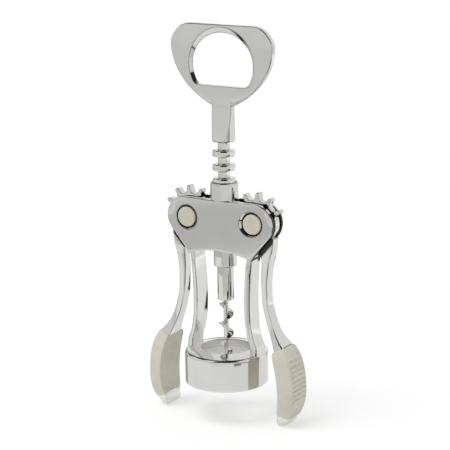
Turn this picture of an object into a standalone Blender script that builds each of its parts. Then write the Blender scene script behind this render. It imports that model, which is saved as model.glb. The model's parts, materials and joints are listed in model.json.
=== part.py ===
"""Winged corkscrew whose handle is a bottle opener.

Units are metres, +Z is up and the front looks along -Y. The origin lies on the spindle's axis,
level with the tips of the two levers, on which the tool stands with its levers down.
"""
import math

import bmesh
import bpy
from mathutils import Vector

MM = 0.001
OVERRUN = 5 * MM              # how far a cutter reaches past what it cuts
FIT = 0.3 * MM                # gap between pieces that are seated in one another

# Bell ring, which is set on the bottle's mouth
BELL_LIFT = 17.1 * MM         # rim of the bell above the lever tips
BELL_RADIUS = 20.5 * MM
BELL_WALL = 3.1 * MM
BELL_HEIGHT = 16.1 * MM
BELL_TOP = 3.0 * MM           # thickness of the ledge that the bottle's mouth stops at
BELL_HOLE_RADIUS = 12.5 * MM
BELL_CROWN = 1.4 * MM         # how far the ledge rises from the wall to the hole
BELL_EDGE = 0.7 * MM

# Legs between the bell and the plates
LEG_HEIGHT = 48.0 * MM
LEG_INSET = 2.2 * MM          # middle of a leg's foot inside the bell's edge
LEG_THICKNESS = 2.75 * MM
LEG_DEPTH = 10.4 * MM
LEG_CHAMFER = 1.0 * MM
LEG_JOINT_HEIGHT = 7.0 * MM   # where the foot cast on the bell meets the leg
LEG_SHARES = (                # height, offset from the axis, thickness
    (-0.04, 0.990, 1.30),
    (0.08, 0.978, 1.12),
    (0.18, 0.895, 0.97),
    (0.35, 0.820, 0.95),
    (0.56, 0.803, 1.00),
    (0.77, 0.825, 0.95),
    (0.89, 0.850, 0.97),
    (0.95, 0.864, 0.98),
    (1.00, 0.892, 1.13),
    (1.05, 0.923, 1.42),
)

# Front and back plates with the guide between them
EAR_RADIUS = 10.1 * MM
EAR_SHIFT = 1.4 * MM          # middle of an ear's rounding outside its pivot
EAR_DEPTH = 10.6 * MM         # across both plates at the ears' ends
FILLET_RADIUS = 13.8 * MM     # hollow between each ear and the leg below
FILLET_DROP = 5.4 * MM        # middle of the hollow below the plates' foot
PLATE_WEB = 2.9 * MM          # solid metal between the gears' room and the plates' lower corners
PLATE_ARCH = 3.2 * MM
PLATE_SIDE_WALL = 1.05 * MM   # plates in front of and behind the guide, at the middle
PLATE_RIM = 1.0 * MM
COLLAR_WALL = 0.9 * MM
COLLAR_RISE = 18.3 * MM       # mouth of the collar above the pivots
COLLAR_EDGE = 0.4 * MM
GUIDE_WALL = 1.6 * MM

# Rack with round teeth, and the spindle and worm that turn in it
RACK_RADIUS = 5.6 * MM
RACK_ROOT_RADIUS = 2.9 * MM
RACK_PITCH = 6.89 * MM
RACK_PHASE = 1.88 * MM        # nearest ring's distance below the pivots
RACK_TOOTH = 3.3 * MM
RACK_TOOTH_EDGE = 1.1 * MM
RINGS_ABOVE = 5               # rings over the one nearest the pivots
RINGS_BELOW = 1
RACK_SHOE = 9.4 * MM          # plain foot of the rack, as wide as its rings
SPINDLE_RADIUS = 1.5 * MM
HOLDER_RADIUS = 4.0 * MM
HOLDER_LENGTH = 16.9 * MM
HOLDER_SOCKET = 9.0 * MM
HOLDER_EDGE = 0.5 * MM
WORM_SOCKET = 4.5 * MM
WORM_LENGTH = 32.0 * MM
WORM_RADIUS = 3.7 * MM
WORM_CORE_RADIUS = 1.15 * MM
WORM_PITCH = 9.85 * MM
WORM_BLADE = 2.1 * MM         # blade's height along the axis, at the core
WORM_BLADE_SHARES = (         # place from the top of the blade to its foot, reach
    (-1.00, 0.00),
    (-0.82, 1.00),
    (-0.25, 0.64),
    (0.35, 0.32),
    (1.00, 0.00),
)
WORM_START_SHARE = 0.1        # of a turn in which the blade grows out of the core
WORM_POINT = 7.0 * MM         # length that tapers to the point
WORM_TURN_SHARE = 0.65        # part of a turn from +X to the blade at the point, seen from above

# Levers
LEVER_THICKNESS = 6.0 * MM
TIP_OFFSET = 35.0 * MM
HUB_RADIUS = 6.5 * MM
GEAR_RADIUS = 15.0 * MM
GEAR_THICKNESS = 4.0 * MM
GEAR_PITCH_RADIUS = 13.55 * MM
GEAR_TEETH = 7
TOOTH_CLEARANCE = 0.5 * MM    # between the gear's teeth and the rack's root
RING_CLEARANCE = 1.6 * MM     # between the rack's rings and the gear's root
TOOTH_WIDTH = 3.5 * MM
TOOTH_SHARES = (              # height and width of a tooth, root to tip
    (0.00, 1.00),
    (0.25, 0.72),
    (0.78, 0.56),
    (1.00, 0.26),
)
ARM_THICKNESS = 3.2 * MM
ARM_CHAMFER = 0.7 * MM
ARM_SHARES = (                # reach, height, thickness, half depth
    (0.333, 0.930, 3.00, 1.00),
    (0.362, 0.865, 2.20, 1.00),
    (0.345, 0.805, 1.38, 1.00),
    (0.306, 0.739, 1.12, 1.00),
    (0.303, 0.674, 1.00, 1.00),
    (0.333, 0.604, 0.97, 1.00),
    (0.409, 0.550, 0.97, 1.03),
    (0.491, 0.503, 0.97, 1.10),
    (0.585, 0.463, 1.02, 1.23),
    (0.709, 0.423, 1.27, 1.53),
    (0.842, 0.387, 1.70, 2.00),
)
CORE_SHARES = (               # reach and height of the steel inside the grip
    (0.842, 0.387),
    (0.933, 0.355),
    (1.030, 0.312),
    (1.097, 0.262),
    (1.133, 0.206),
    (1.139, 0.150),
    (1.095, 0.098),
    (0.997, 0.050),
)
CORE_THICKNESS = 3.2 * MM
CORE_DEPTH = 8.6 * MM
TIP_THICKNESS = 5.8 * MM
TIP_DEPTH = 13.4 * MM         # across the side towards the axis
TIP_OUTER_DEPTH = 10.2 * MM
TIP_SHARES = (                # height, reach, thickness, depth
    (0.0300, 0.961, 0.98, 0.97),
    (0.0145, 0.940, 0.86, 0.87),
    (0.0045, 0.928, 0.60, 0.70),
    (0.0000, 0.925, 0.34, 0.54),
)

# Grips moulded on the levers
GRIP_THICKNESS = 7.7 * MM
GRIP_WIDTH = 18.6 * MM        # across the inner face
GRIP_OUTER_WIDTH = 14.9 * MM  # across the ribbed outer face
GRIP_HOLLOW = 0.5 * MM        # dish of the inner face
GRIP_EDGE = 0.8 * MM
GRIP_SHARES = (               # place along the grip, thickness, width
    (0.00, 0.78, 0.77),
    (0.10, 0.89, 0.88),
    (0.22, 0.97, 0.96),
    (0.38, 1.00, 1.00),
    (0.55, 1.00, 1.00),
    (0.72, 0.98, 0.99),
    (0.88, 0.92, 0.92),
    (1.00, 0.80, 0.75),
)
RIB_COUNT = 10
RIB_PITCH = 2.15 * MM
RIB_RADIUS = 0.55 * MM
RIB_LENGTH_SHARE = 0.88       # of the grip's outer width
RIB_START_SHARE = 0.17        # of the grip's length

# Pivot pins with their clips and caps
PIN_RADIUS = 2.5 * MM
PIN_HEAD_RADIUS = 3.65 * MM
PIN_HEAD = 0.6 * MM
PIN_SEAT = 0.7 * MM           # plate left under the heads of the pins
CAP_WALL = 0.7 * MM
CAP_EDGE = 0.3 * MM
CAP_GROOVE = 0.8 * MM         # open ring round each cap

# Bottle opener
NECK_LENGTH = 17.5 * MM
NECK_EDGE = 0.6 * MM
NECK_FLAT_SHARES = (          # height on the neck, distance of its flats from the axis
    (0.000, 0.960),
    (0.023, 0.893),
    (0.074, 0.786),
    (0.130, 0.660),
    (0.190, 0.560),
)
SPINDLE_REACH = 8.5 * MM      # length of the spindle held in the neck
HEAD_THICKNESS = 3.2 * MM
HEAD_HEIGHT = 38.7 * MM
HEAD_WIDTH = 56.6 * MM
HEAD_EDGE = 0.5 * MM
OPENER_RADIUS = 17.7 * MM
OPENER_CROWN = 1.5 * MM       # metal over the hole at the face
OPENER_LIP_RISE = 9.3 * MM    # flat lip of the hole above the head's foot
OPENER_CORNER = 3.4 * MM
OPENER_DRAFT = 1.0 * MM       # how much the hole narrows towards the middle of the wall
OPENER_TOP_DRAFT = 2.4 * MM
HEAD_SHARES = (               # half width and height of the outline, foot to crown
    (0.215, 0.000),
    (0.345, 0.050),
    (0.510, 0.125),
    (0.690, 0.240),
    (0.840, 0.375),
    (0.930, 0.495),
    (0.982, 0.625),
    (1.000, 0.735),
    (0.985, 0.805),
    (0.930, 0.875),
    (0.840, 0.945),
    (0.740, 0.985),
    (0.640, 1.000),
    (0.400, 1.000),
    (0.200, 1.000),
)

# Places that follow from the sizes
SLOT_HALF = LEVER_THICKNESS / 2 + FIT
SLOT_RADIUS = GEAR_RADIUS + FIT
GUIDE_RADIUS = RACK_RADIUS + FIT
GUIDE_OFFSET = GUIDE_RADIUS + GUIDE_WALL
COLLAR_RADIUS = GUIDE_RADIUS + COLLAR_WALL
BELL_BORE_RADIUS = BELL_RADIUS - BELL_WALL
BELL_SHOULDER = BELL_LIFT + BELL_HEIGHT
LEG_JOINT = BELL_SHOULDER + LEG_JOINT_HEIGHT
LEG_FOOT_OFFSET = BELL_RADIUS - LEG_INSET
PLATE_FOOT = BELL_SHOULDER + LEG_HEIGHT
LEG_FLARE_SHARES = LEG_SHARES[-4]     # row above which a leg widens into the plates
LEG_HEAD_OFFSET = LEG_FOOT_OFFSET * LEG_FLARE_SHARES[1] + LEG_THICKNESS * LEG_FLARE_SHARES[2] / 2
FILLET_OFFSET = LEG_HEAD_OFFSET + FILLET_RADIUS
FILLET_HEIGHT = PLATE_FOOT - FILLET_DROP
PLATE_FOOT_OFFSET = FILLET_OFFSET - math.sqrt(FILLET_RADIUS ** 2 - FILLET_DROP ** 2)
PLATE_DEPTH = 2 * (GUIDE_RADIUS + PLATE_SIDE_WALL)
PIVOT_OFFSET = RACK_ROOT_RADIUS + TOOTH_CLEARANCE + GEAR_RADIUS
PIVOT_HEIGHT = PLATE_FOOT + PLATE_WEB + SLOT_RADIUS
EAR_OFFSET = PIVOT_OFFSET + EAR_SHIFT
GEAR_ROOT_RADIUS = PIVOT_OFFSET - RACK_RADIUS - RING_CLEARANCE
COLLAR_MOUTH = PIVOT_HEIGHT + COLLAR_RISE
NEAREST_RING = PIVOT_HEIGHT - RACK_PHASE
TOP_RING = NEAREST_RING + RINGS_ABOVE * RACK_PITCH
LOW_RING = NEAREST_RING - RINGS_BELOW * RACK_PITCH
NECK_FOOT = TOP_RING + RACK_PITCH - RACK_TOOTH / 2 + FIT
HEAD_FOOT = NECK_FOOT + NECK_LENGTH
SHOE_TOP = LOW_RING - RACK_PITCH + RACK_TOOTH / 2
SHOE_FOOT = SHOE_TOP - RACK_SHOE
HOLDER_TOP = SHOE_FOOT - FIT
HOLDER_FOOT = HOLDER_TOP - HOLDER_LENGTH
REACH = TIP_OFFSET - PIVOT_OFFSET
TOOTH_STEP = RACK_PITCH / GEAR_PITCH_RADIUS
OPENER_CENTRE = HEAD_HEIGHT - OPENER_CROWN - OPENER_RADIUS
RECESS_FLOOR = SLOT_HALF + PIN_SEAT
PIN_HEAD_FOOT = RECESS_FLOOR + FIT
CAP_BORE_RADIUS = PIN_HEAD_RADIUS + 2 * FIT
CAP_RADIUS = CAP_BORE_RADIUS + CAP_WALL
RECESS_RADIUS = CAP_RADIUS + CAP_GROOVE

CHROME = (0.74, 0.74, 0.73, 1.0)
STEEL = (0.60, 0.60, 0.60, 1.0)
CREAM = (0.62, 0.60, 0.50, 1.0)


# Materials, empties and objects

def finish(name, colour, metallic, roughness):
    material = bpy.data.materials.new(name)
    material.use_nodes = True
    shader = material.node_tree.nodes["Principled BSDF"]
    shader.inputs["Base Color"].default_value = colour
    shader.inputs["Metallic"].default_value = metallic
    shader.inputs["Roughness"].default_value = roughness
    return material


def axis_empty(name, place, parent=None):
    empty = bpy.data.objects.new(name, None)
    bpy.context.collection.objects.link(empty)
    empty.parent = parent
    empty.location = place if parent is None else Vector(place) - parent.matrix_world.translation
    bpy.context.view_layer.update()
    return empty


def add_piece(name, mesh, material, parent):
    """Make an object of a bmesh in world coordinates, with its origin on its parent's axis."""
    bmesh.ops.recalc_face_normals(mesh, faces=mesh.faces)
    bmesh.ops.translate(mesh, vec=-parent.matrix_world.translation, verts=mesh.verts)
    data = bpy.data.meshes.new(name)
    mesh.to_mesh(data)
    mesh.free()
    data.materials.append(material)
    data.shade_smooth()
    data.set_sharp_from_angle(angle=math.radians(32))
    piece = bpy.data.objects.new(name, data)
    bpy.context.collection.objects.link(piece)
    piece.parent = parent
    return piece


def combine(piece, operation, name, mesh):
    """Join a shape to a piece, or cut it away, with a Boolean that stays on the piece."""
    tool = add_piece(name, mesh, piece.data.materials[0], piece.parent)
    tool.hide_render = True
    tool.display_type = "WIRE"
    modifier = piece.modifiers.new(name, "BOOLEAN")
    modifier.operation = operation
    modifier.solver = "EXACT"
    modifier.object = tool


# Shapes

def loft(sections, closed=False):
    """Skin a run of equal rings of points. An open run is capped at both ends."""
    mesh = bmesh.new()
    rings = [[mesh.verts.new(point) for point in section] for section in sections]
    count = len(rings[0])
    pairs = list(zip(rings, rings[1:]))
    if closed:
        pairs.append((rings[-1], rings[0]))
    for low, high in pairs:
        for i in range(count):
            j = (i + 1) % count
            mesh.faces.new((low[i], low[j], high[j], high[i]))
    if not closed:
        mesh.faces.new(rings[0])
        mesh.faces.new(rings[-1])
    return mesh


def turned(profile, segments=28, centre=(0, 0)):
    """Turn a profile of (radius, height) about a vertical axis. A profile off the axis makes a ring."""
    solid = profile[0][0] == 0
    mesh = bmesh.new()
    columns = []
    poles = [mesh.verts.new((*centre, height)) for radius, height in profile if radius == 0]
    body = [point for point in profile if point[0] > 0]
    for k in range(segments):
        angle = math.tau * k / segments
        columns.append([mesh.verts.new((centre[0] + radius * math.cos(angle),
                                        centre[1] + radius * math.sin(angle), height))
                        for radius, height in body])
    for here, there in zip(columns, columns[1:] + columns[:1]):
        for i in range(len(body) - 1):
            mesh.faces.new((here[i], there[i], there[i + 1], here[i + 1]))
        if solid:
            mesh.faces.new((poles[0], there[0], here[0]))
            mesh.faces.new((poles[1], here[-1], there[-1]))
        else:
            mesh.faces.new((here[-1], there[-1], there[0], here[0]))
    return mesh


def along_y(mesh, place):
    """Lay a turned shape down so that its axis points along -Y from the given place."""
    for vert in mesh.verts:
        x, y, z = vert.co
        vert.co = (place[0] + x, place[1] - z, place[2] + y)
    return mesh


def rod(radius, low, high, segments=28, centre=(0, 0)):
    return turned([(0, low), (radius, low), (radius, high), (0, high)], segments, centre)


def cross_rod(radius, side, front, back, segments=28):
    """A rod along Y through a pivot, from one depth to another."""
    return along_y(rod(radius, -back, -front, segments), (side * PIVOT_OFFSET, 0, PIVOT_HEIGHT))


def prism(outline, front, back):
    """Extrude an outline of (x, z) along Y."""
    return loft([[(x, front, z) for x, z in outline], [(x, back, z) for x, z in outline]])


def arc(centre, radius, start, stop, steps):
    """Points on a circle in the XZ plane, with angles in degrees from +X towards +Z."""
    angles = [math.radians(start + (stop - start) * k / steps) for k in range(steps + 1)]
    return [(centre[0] + radius * math.cos(a), centre[1] + radius * math.sin(a)) for a in angles]


def smooth_run(rows, steps):
    """Catmull-Rom curve through rows of numbers, with some steps between each two rows."""
    run = []
    for i in range(len(rows) - 1):
        before = rows[max(i - 1, 0)]
        after = rows[min(i + 2, len(rows) - 1)]
        for k in range(steps):
            t = k / steps
            run.append(tuple(
                0.5 * (2 * b + (c - a) * t + (2 * a - 5 * b + 4 * c - d) * t * t
                       + (3 * b - a - 3 * c + d) * t ** 3)
                for a, b, c, d in zip(before, rows[i], rows[i + 1], after)))
    run.append(tuple(rows[-1]))
    return run


def mirrored(points, side):
    return [(side * x, *rest) for x, *rest in points]


# Bell ring and frame

def bell_profile():
    top = BELL_SHOULDER
    bore_top = top - BELL_TOP + BELL_CROWN / 2
    return [
        (BELL_BORE_RADIUS, bore_top),
        (BELL_BORE_RADIUS, BELL_LIFT + BELL_EDGE / 2),
        (BELL_BORE_RADIUS + BELL_EDGE / 2, BELL_LIFT),
        (BELL_RADIUS - BELL_EDGE, BELL_LIFT),
        (BELL_RADIUS - BELL_EDGE * 0.3, BELL_LIFT + BELL_EDGE * 0.3),
        (BELL_RADIUS, BELL_LIFT + BELL_EDGE),
        (BELL_RADIUS, top - BELL_EDGE),
        (BELL_RADIUS - BELL_EDGE * 0.3, top - BELL_EDGE * 0.3),
        (BELL_RADIUS - BELL_EDGE, top),
        (BELL_HOLE_RADIUS + BELL_EDGE, top + BELL_CROWN),
        (BELL_HOLE_RADIUS, top + BELL_CROWN - BELL_EDGE),
        (BELL_HOLE_RADIUS, bore_top),
    ]


def leg_row(height):
    """Offset and thickness of a leg at a height, read from the smooth run through its shares."""
    run = smooth_run(LEG_SHARES, 8)
    share = (height - BELL_SHOULDER) / LEG_HEIGHT
    for low, high in zip(run, run[1:]):
        if low[0] <= share <= high[0]:
            t = (share - low[0]) / (high[0] - low[0])
            return [a + (b - a) * t for a, b in zip(low[1:], high[1:])]
    return run[-1][1:]


def leg_section(height, side):
    offset_share, thickness_share = leg_row(height)
    offset = offset_share * LEG_FOOT_OFFSET
    half = thickness_share * LEG_THICKNESS / 2
    depth = LEG_DEPTH / 2
    cut = min(LEG_CHAMFER, 1.2 * half)
    ease = cut * 0.3
    quarter = [(-half, depth - ease), (-half + ease, depth), (half - cut, depth),
               (half - ease, depth - ease), (half, depth - cut)]
    outline = [(x, -y) for x, y in quarter] + quarter[::-1]
    return [(side * (offset + x), y, height) for x, y in outline]


def leg(side, low, high, steps):
    return loft([leg_section(low + (high - low) * k / steps, side) for k in range(steps + 1)])


def bell_ring(material, parent):
    ring = add_piece("bell_ring", turned(bell_profile(), 52), material, parent)
    foot = BELL_SHOULDER - BELL_TOP / 2
    for side, name in ((-1, "left_leg_foot"), (1, "right_leg_foot")):
        combine(ring, "UNION", name, leg(side, foot, LEG_JOINT, 4))


def plate_depth(x):
    """Distance of a plate's face from the middle plane, swelling gently towards the guide."""
    swell = (1 + math.cos(math.pi * x / (EAR_OFFSET + EAR_RADIUS))) / 2
    return EAR_DEPTH / 2 + (PLATE_DEPTH - EAR_DEPTH) / 2 * swell


def plate_edge_contacts():
    """Ends of the straight edge between the hollow over a leg and the rounding of an ear."""
    dx = FILLET_OFFSET - EAR_OFFSET
    dz = FILLET_HEIGHT - PIVOT_HEIGHT
    turn = math.acos(min((EAR_RADIUS + FILLET_RADIUS) / math.hypot(dx, dz), 1))
    angle = math.atan2(dz, dx) + turn
    lead = Vector((math.cos(angle), math.sin(angle)))
    return (Vector((FILLET_OFFSET, FILLET_HEIGHT)) - lead * FILLET_RADIUS,
            Vector((EAR_OFFSET, PIVOT_HEIGHT)) + lead * EAR_RADIUS)


def plate_span(x):
    """Lower and upper edge of the plates at a distance from the axis."""
    ear = math.sqrt(max(EAR_RADIUS ** 2 - max(x - EAR_OFFSET, 0) ** 2, 0))
    start, stop = plate_edge_contacts()
    if x <= PLATE_FOOT_OFFSET:
        low = PLATE_FOOT + PLATE_ARCH * (1 - (x / PLATE_FOOT_OFFSET) ** 2)
    elif x < start.x:
        low = FILLET_HEIGHT + math.sqrt(FILLET_RADIUS ** 2 - (FILLET_OFFSET - x) ** 2)
    elif x < stop.x:
        low = start.y + (stop.y - start.y) * (x - start.x) / (stop.x - start.x)
    else:
        low = PIVOT_HEIGHT - ear
    return low, PIVOT_HEIGHT + ear


def plate_section(x, side, inset):
    low, high = plate_span(x)
    depth = plate_depth(x) - inset
    rim = PLATE_RIM
    quarter = [(depth - rim, 0), (depth - 0.3 * rim, 0.3 * rim), (depth, rim)]
    foot = [(y, low + z) for y, z in quarter]
    head = [(y, high - z) for y, z in quarter]
    right = foot + head[::-1]
    return [(side * x, y, z) for y, z in right] + [(side * x, -y, z) for y, z in right[::-1]]


def plate_block():
    """Both plates as one solid, skinned along X from ear to ear."""
    start, stop = plate_edge_contacts()
    stations = [PLATE_FOOT_OFFSET * share for share in (0, 0.25, 0.5, 0.75, 0.97, 1)]
    stations += [(PLATE_FOOT_OFFSET + start.x) / 2, start.x, stop.x]
    stations += [EAR_OFFSET + EAR_RADIUS * share for share in (0.25, 0.42, 0.58, 0.84, 0.91, 0.96)]
    half = [(x, 0) for x in sorted(stations)] + [(EAR_OFFSET + 0.985 * EAR_RADIUS, PLATE_RIM)]
    left = [plate_section(x, -1, inset) for x, inset in half[:0:-1]]
    right = [plate_section(x, 1, inset) for x, inset in half]
    return loft(left + right)


def slot_outline(side):
    """Room between the plates for a lever, its gear and the swing of its arm."""
    pivot = (PIVOT_OFFSET, PIVOT_HEIGHT)
    top = COLLAR_MOUTH + OVERRUN
    far = PIVOT_OFFSET + SLOT_RADIUS + OVERRUN
    meet = math.degrees(math.acos((PIVOT_OFFSET - GUIDE_OFFSET) / SLOT_RADIUS))
    points = arc(pivot, SLOT_RADIUS, 180 - meet, 270, 20)
    points += [(PIVOT_OFFSET, PLATE_FOOT - OVERRUN), (far, PLATE_FOOT - OVERRUN), (far, top),
               (GUIDE_OFFSET, top)]
    return mirrored(points, side)


def frame(material, parent):
    body = add_piece("frame", plate_block(), material, parent)
    collar = turned([(0, PIVOT_HEIGHT), (COLLAR_RADIUS, PIVOT_HEIGHT),
                     (COLLAR_RADIUS, COLLAR_MOUTH - COLLAR_EDGE),
                     (COLLAR_RADIUS - COLLAR_EDGE, COLLAR_MOUTH), (0, COLLAR_MOUTH)], 40)
    combine(body, "UNION", "collar", collar)
    leg_head = PLATE_FOOT + LEG_THICKNESS / 2
    for side, hand in ((-1, "left"), (1, "right")):
        combine(body, "UNION", hand + "_leg", leg(side, LEG_JOINT, leg_head, 10))
    for side, hand in ((-1, "left"), (1, "right")):
        combine(body, "DIFFERENCE", hand + "_slot", prism(slot_outline(side), -SLOT_HALF, SLOT_HALF))
        through = PLATE_DEPTH / 2 + OVERRUN
        combine(body, "DIFFERENCE", hand + "_pin_hole",
                cross_rod(PIN_RADIUS + FIT, side, -through, through))
        for front, back, face in ((-through, -RECESS_FLOOR, "front"), (RECESS_FLOOR, through, "back")):
            combine(body, "DIFFERENCE", f"{hand}_{face}_recess",
                    cross_rod(RECESS_RADIUS, side, front, back, 32))
    combine(body, "DIFFERENCE", "guide_bore",
            rod(GUIDE_RADIUS, PLATE_FOOT - OVERRUN, COLLAR_MOUTH + OVERRUN, 40))


# Levers and grips

def lever_point(reach_share, height_share):
    """Centre of a lever's section, to the right of the axis, for shares of its reach and height."""
    return Vector((PIVOT_OFFSET + REACH * reach_share, 0, PIVOT_HEIGHT * height_share))


def headings(points):
    """Unit directions along a run of points in the XZ plane."""
    ends = zip([points[0]] + points[:-1], points[1:] + [points[-1]])
    return [(after - before).normalized() for before, after in ends]


def strap_section(centre, heading, thickness, half_in, half_out, cut, side):
    """Chamfered section across a run that leads down. Inwards is towards the axis."""
    outward = Vector((-heading.z, 0, heading.x))
    half = thickness / 2
    quarter = [(-half, half_in - cut), (-half + cut, half_in), (half - cut, half_out),
               (half, half_out - cut)]
    outline = [(u, -v) for u, v in quarter] + quarter[::-1]
    points = [centre + outward * u + Vector((0, v, 0)) for u, v in outline]
    return [(side * p.x, p.y, p.z) for p in points]


def core_run():
    """Centres and headings of the lever inside its grip, at even steps."""
    centres = [lever_point(*row) for row in smooth_run(CORE_SHARES, 2)]
    return centres, headings(centres)


def lever_arm(side):
    """The arm, the steel inside the grip and the tip below it, as one skinned run."""
    rows = smooth_run(ARM_SHARES, 2)
    centres = [lever_point(*row[:2]) for row in rows]
    sections = []
    for centre, heading, row in zip(centres, headings(centres), rows):
        half = LEVER_THICKNESS / 2 * row[3]
        sections.append(strap_section(centre, heading, ARM_THICKNESS * row[2], half,
                                      min(half, LEVER_THICKNESS / 2 * 1.7), ARM_CHAMFER, side))
    inner, inner_headings = core_run()
    core_half = CORE_DEPTH / 2
    for centre, heading in zip(inner, inner_headings):
        sections.append(strap_section(centre + heading * FIT / 2, heading, CORE_THICKNESS,
                                      core_half, core_half, ARM_CHAMFER, side))
    start = inner[-1] + inner_headings[-1] * FIT
    sections.append(strap_section(start, inner_headings[-1], TIP_THICKNESS, TIP_DEPTH / 2,
                                  TIP_OUTER_DEPTH / 2, ARM_CHAMFER, side))
    down = Vector((0, 0, -1))
    for height_share, reach_share, thickness_share, depth_share in TIP_SHARES:
        sections.append(strap_section(lever_point(reach_share, height_share), down,
                                      TIP_THICKNESS * thickness_share, TIP_DEPTH / 2 * depth_share,
                                      TIP_OUTER_DEPTH / 2 * depth_share,
                                      ARM_CHAMFER * thickness_share, side))
    return loft(sections)


def gear_outline(side):
    """Disc with teeth round its upper half, for the rack's rings."""
    first = math.pi - math.asin((RACK_PITCH / 2 - RACK_PHASE) / GEAR_PITCH_RADIUS) + TOOTH_STEP
    points = []
    flank = [(height, width / 2) for height, width in TOOTH_SHARES]
    for k in range(GEAR_TEETH):
        middle = first - k * TOOTH_STEP
        for height, half_share in flank + [(height, -half) for height, half in flank[::-1]]:
            radius = GEAR_ROOT_RADIUS + (GEAR_RADIUS - GEAR_ROOT_RADIUS) * height
            angle = middle + math.asin(TOOTH_WIDTH * half_share / radius)
            points.append((radius * math.cos(angle), radius * math.sin(angle)))
        if k < GEAR_TEETH - 1:
            angle = middle - TOOTH_STEP / 2
            points.append((GEAR_ROOT_RADIUS * math.cos(angle), GEAR_ROOT_RADIUS * math.sin(angle)))
    start = math.atan2(points[-1][1], points[-1][0])
    stop = math.atan2(points[0][1], points[0][0])
    sweep = (start - stop) % math.tau
    steps = 14
    for k in range(1, steps):
        angle = start - sweep * k / steps
        points.append((GEAR_ROOT_RADIUS * math.cos(angle), GEAR_ROOT_RADIUS * math.sin(angle)))
    return mirrored([(PIVOT_OFFSET + x, PIVOT_HEIGHT + z) for x, z in points], side)


def lever(side, hand, material, parent):
    half = LEVER_THICKNESS / 2
    gear_half = GEAR_THICKNESS / 2
    body = add_piece(hand + "_lever", prism(gear_outline(side), -gear_half, gear_half), material, parent)
    combine(body, "UNION", hand + "_hub", cross_rod(HUB_RADIUS, side, -half, half))
    combine(body, "UNION", hand + "_arm", lever_arm(side))
    combine(body, "DIFFERENCE", hand + "_lever_bore",
            cross_rod(PIN_RADIUS + FIT, side, -half - OVERRUN, half + OVERRUN))


def grip_rows():
    """Centre, heading, thickness and widths of the grip's sections, from the top down."""
    centres, leads = core_run()
    rows = smooth_run(GRIP_SHARES, 2)
    picked = []
    for place, thickness_share, width_share in rows:
        at = place * (len(centres) - 1)
        low = min(int(at), len(centres) - 2)
        centre = centres[low].lerp(centres[low + 1], at - low)
        heading = leads[low].lerp(leads[low + 1], at - low).normalized()
        picked.append((centre, heading, GRIP_THICKNESS * thickness_share,
                       GRIP_WIDTH / 2 * width_share, GRIP_OUTER_WIDTH / 2 * width_share))
    picked[0] = (picked[0][0] + picked[0][1] * FIT, *picked[0][1:])
    return picked


def grip_outer(centre, heading, thickness, half_in, half_out, side):
    outward = Vector((-heading.z, 0, heading.x))
    half = thickness / 2
    edge = GRIP_EDGE
    quarter = [(-half + GRIP_HOLLOW, 0), (-half + GRIP_HOLLOW * 0.6, half_in * 0.5),
               (-half, half_in - edge), (-half + 0.3 * edge, half_in - 0.25 * edge),
               (-half + edge, half_in), (half - edge, half_out + 0.15 * edge),
               (half - 0.3 * edge, half_out - 0.3 * edge), (half, half_out - edge),
               (half + 0.3 * edge, half_out * 0.4)]
    outline = quarter + [(u, -v) for u, v in quarter[:0:-1]]
    points = [centre + outward * u + Vector((0, v, 0)) for u, v in outline]
    return [(side * p.x, p.y, p.z) for p in points]


def grip_inner(centre, heading, side):
    """Channel of the grip, round the steel with as many points as the outside."""
    outward = Vector((-heading.z, 0, heading.x))
    half = CORE_THICKNESS / 2 + FIT
    depth = CORE_DEPTH / 2 + FIT
    quarter = [(-half, 0), (-half, 0.3 * depth), (-half, 0.6 * depth), (-half, 0.85 * depth),
               (-half, depth), (half, depth), (half, 0.85 * depth), (half, 0.6 * depth),
               (half, 0.3 * depth)]
    outline = quarter + [(u, -v) for u, v in quarter[:0:-1]]
    points = [centre + outward * u + Vector((0, v, 0)) for u, v in outline]
    return [(side * p.x, p.y, p.z) for p in points]


def sleeve(outer, inner):
    """Skin of a tube between equal runs of outer and inner rings, with flat ends."""
    mesh = bmesh.new()
    outside = [[mesh.verts.new(p) for p in ring] for ring in outer]
    inside = [[mesh.verts.new(p) for p in ring] for ring in inner]
    count = len(outside[0])
    for skin in (outside, inside):
        for low, high in zip(skin, skin[1:]):
            for i in range(count):
                j = (i + 1) % count
                mesh.faces.new((low[i], low[j], high[j], high[i]))
    for end in (0, -1):
        for i in range(count):
            j = (i + 1) % count
            mesh.faces.new((outside[end][i], outside[end][j], inside[end][j], inside[end][i]))
    return mesh


def rib(centre, heading, thickness, side):
    """Half-round ridge across the outer face of a grip."""
    outward = Vector((-heading.z, 0, heading.x))
    middle = centre + outward * (thickness / 2 + 0.1 * RIB_RADIUS)
    sections = []
    length = RIB_LENGTH_SHARE * GRIP_OUTER_WIDTH
    for share, swell in ((-1, 0.4), (-0.9, 1), (0.9, 1), (1, 0.4)):
        ring = []
        for k in range(6):
            angle = math.tau * k / 6
            point = middle + (outward * math.cos(angle) + heading * math.sin(angle)) * RIB_RADIUS * swell
            ring.append((side * point.x, share * length / 2, point.z))
        sections.append(ring)
    return loft(sections)


def grip(side, hand, material, parent):
    rows = grip_rows()
    outer = [grip_outer(*row, side) for row in rows]
    inner = [grip_inner(row[0], row[1], side) for row in rows]
    body = add_piece(hand + "_grip", sleeve(outer, inner), material, parent)
    steps = [(b[0] - a[0]).length for a, b in zip(rows, rows[1:])]
    start = RIB_START_SHARE * sum(steps)
    for k in range(RIB_COUNT):
        along = start + k * RIB_PITCH
        i = 0
        while i < len(steps) - 1 and along > steps[i]:
            along -= steps[i]
            i += 1
        t = along / steps[i]
        centre = rows[i][0].lerp(rows[i + 1][0], t)
        heading = rows[i][1].lerp(rows[i + 1][1], t).normalized()
        thickness = rows[i][2] + (rows[i + 1][2] - rows[i][2]) * t
        combine(body, "UNION", f"{hand}_rib_{k + 1}", rib(centre, heading, thickness, side))


# Pivots

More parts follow.
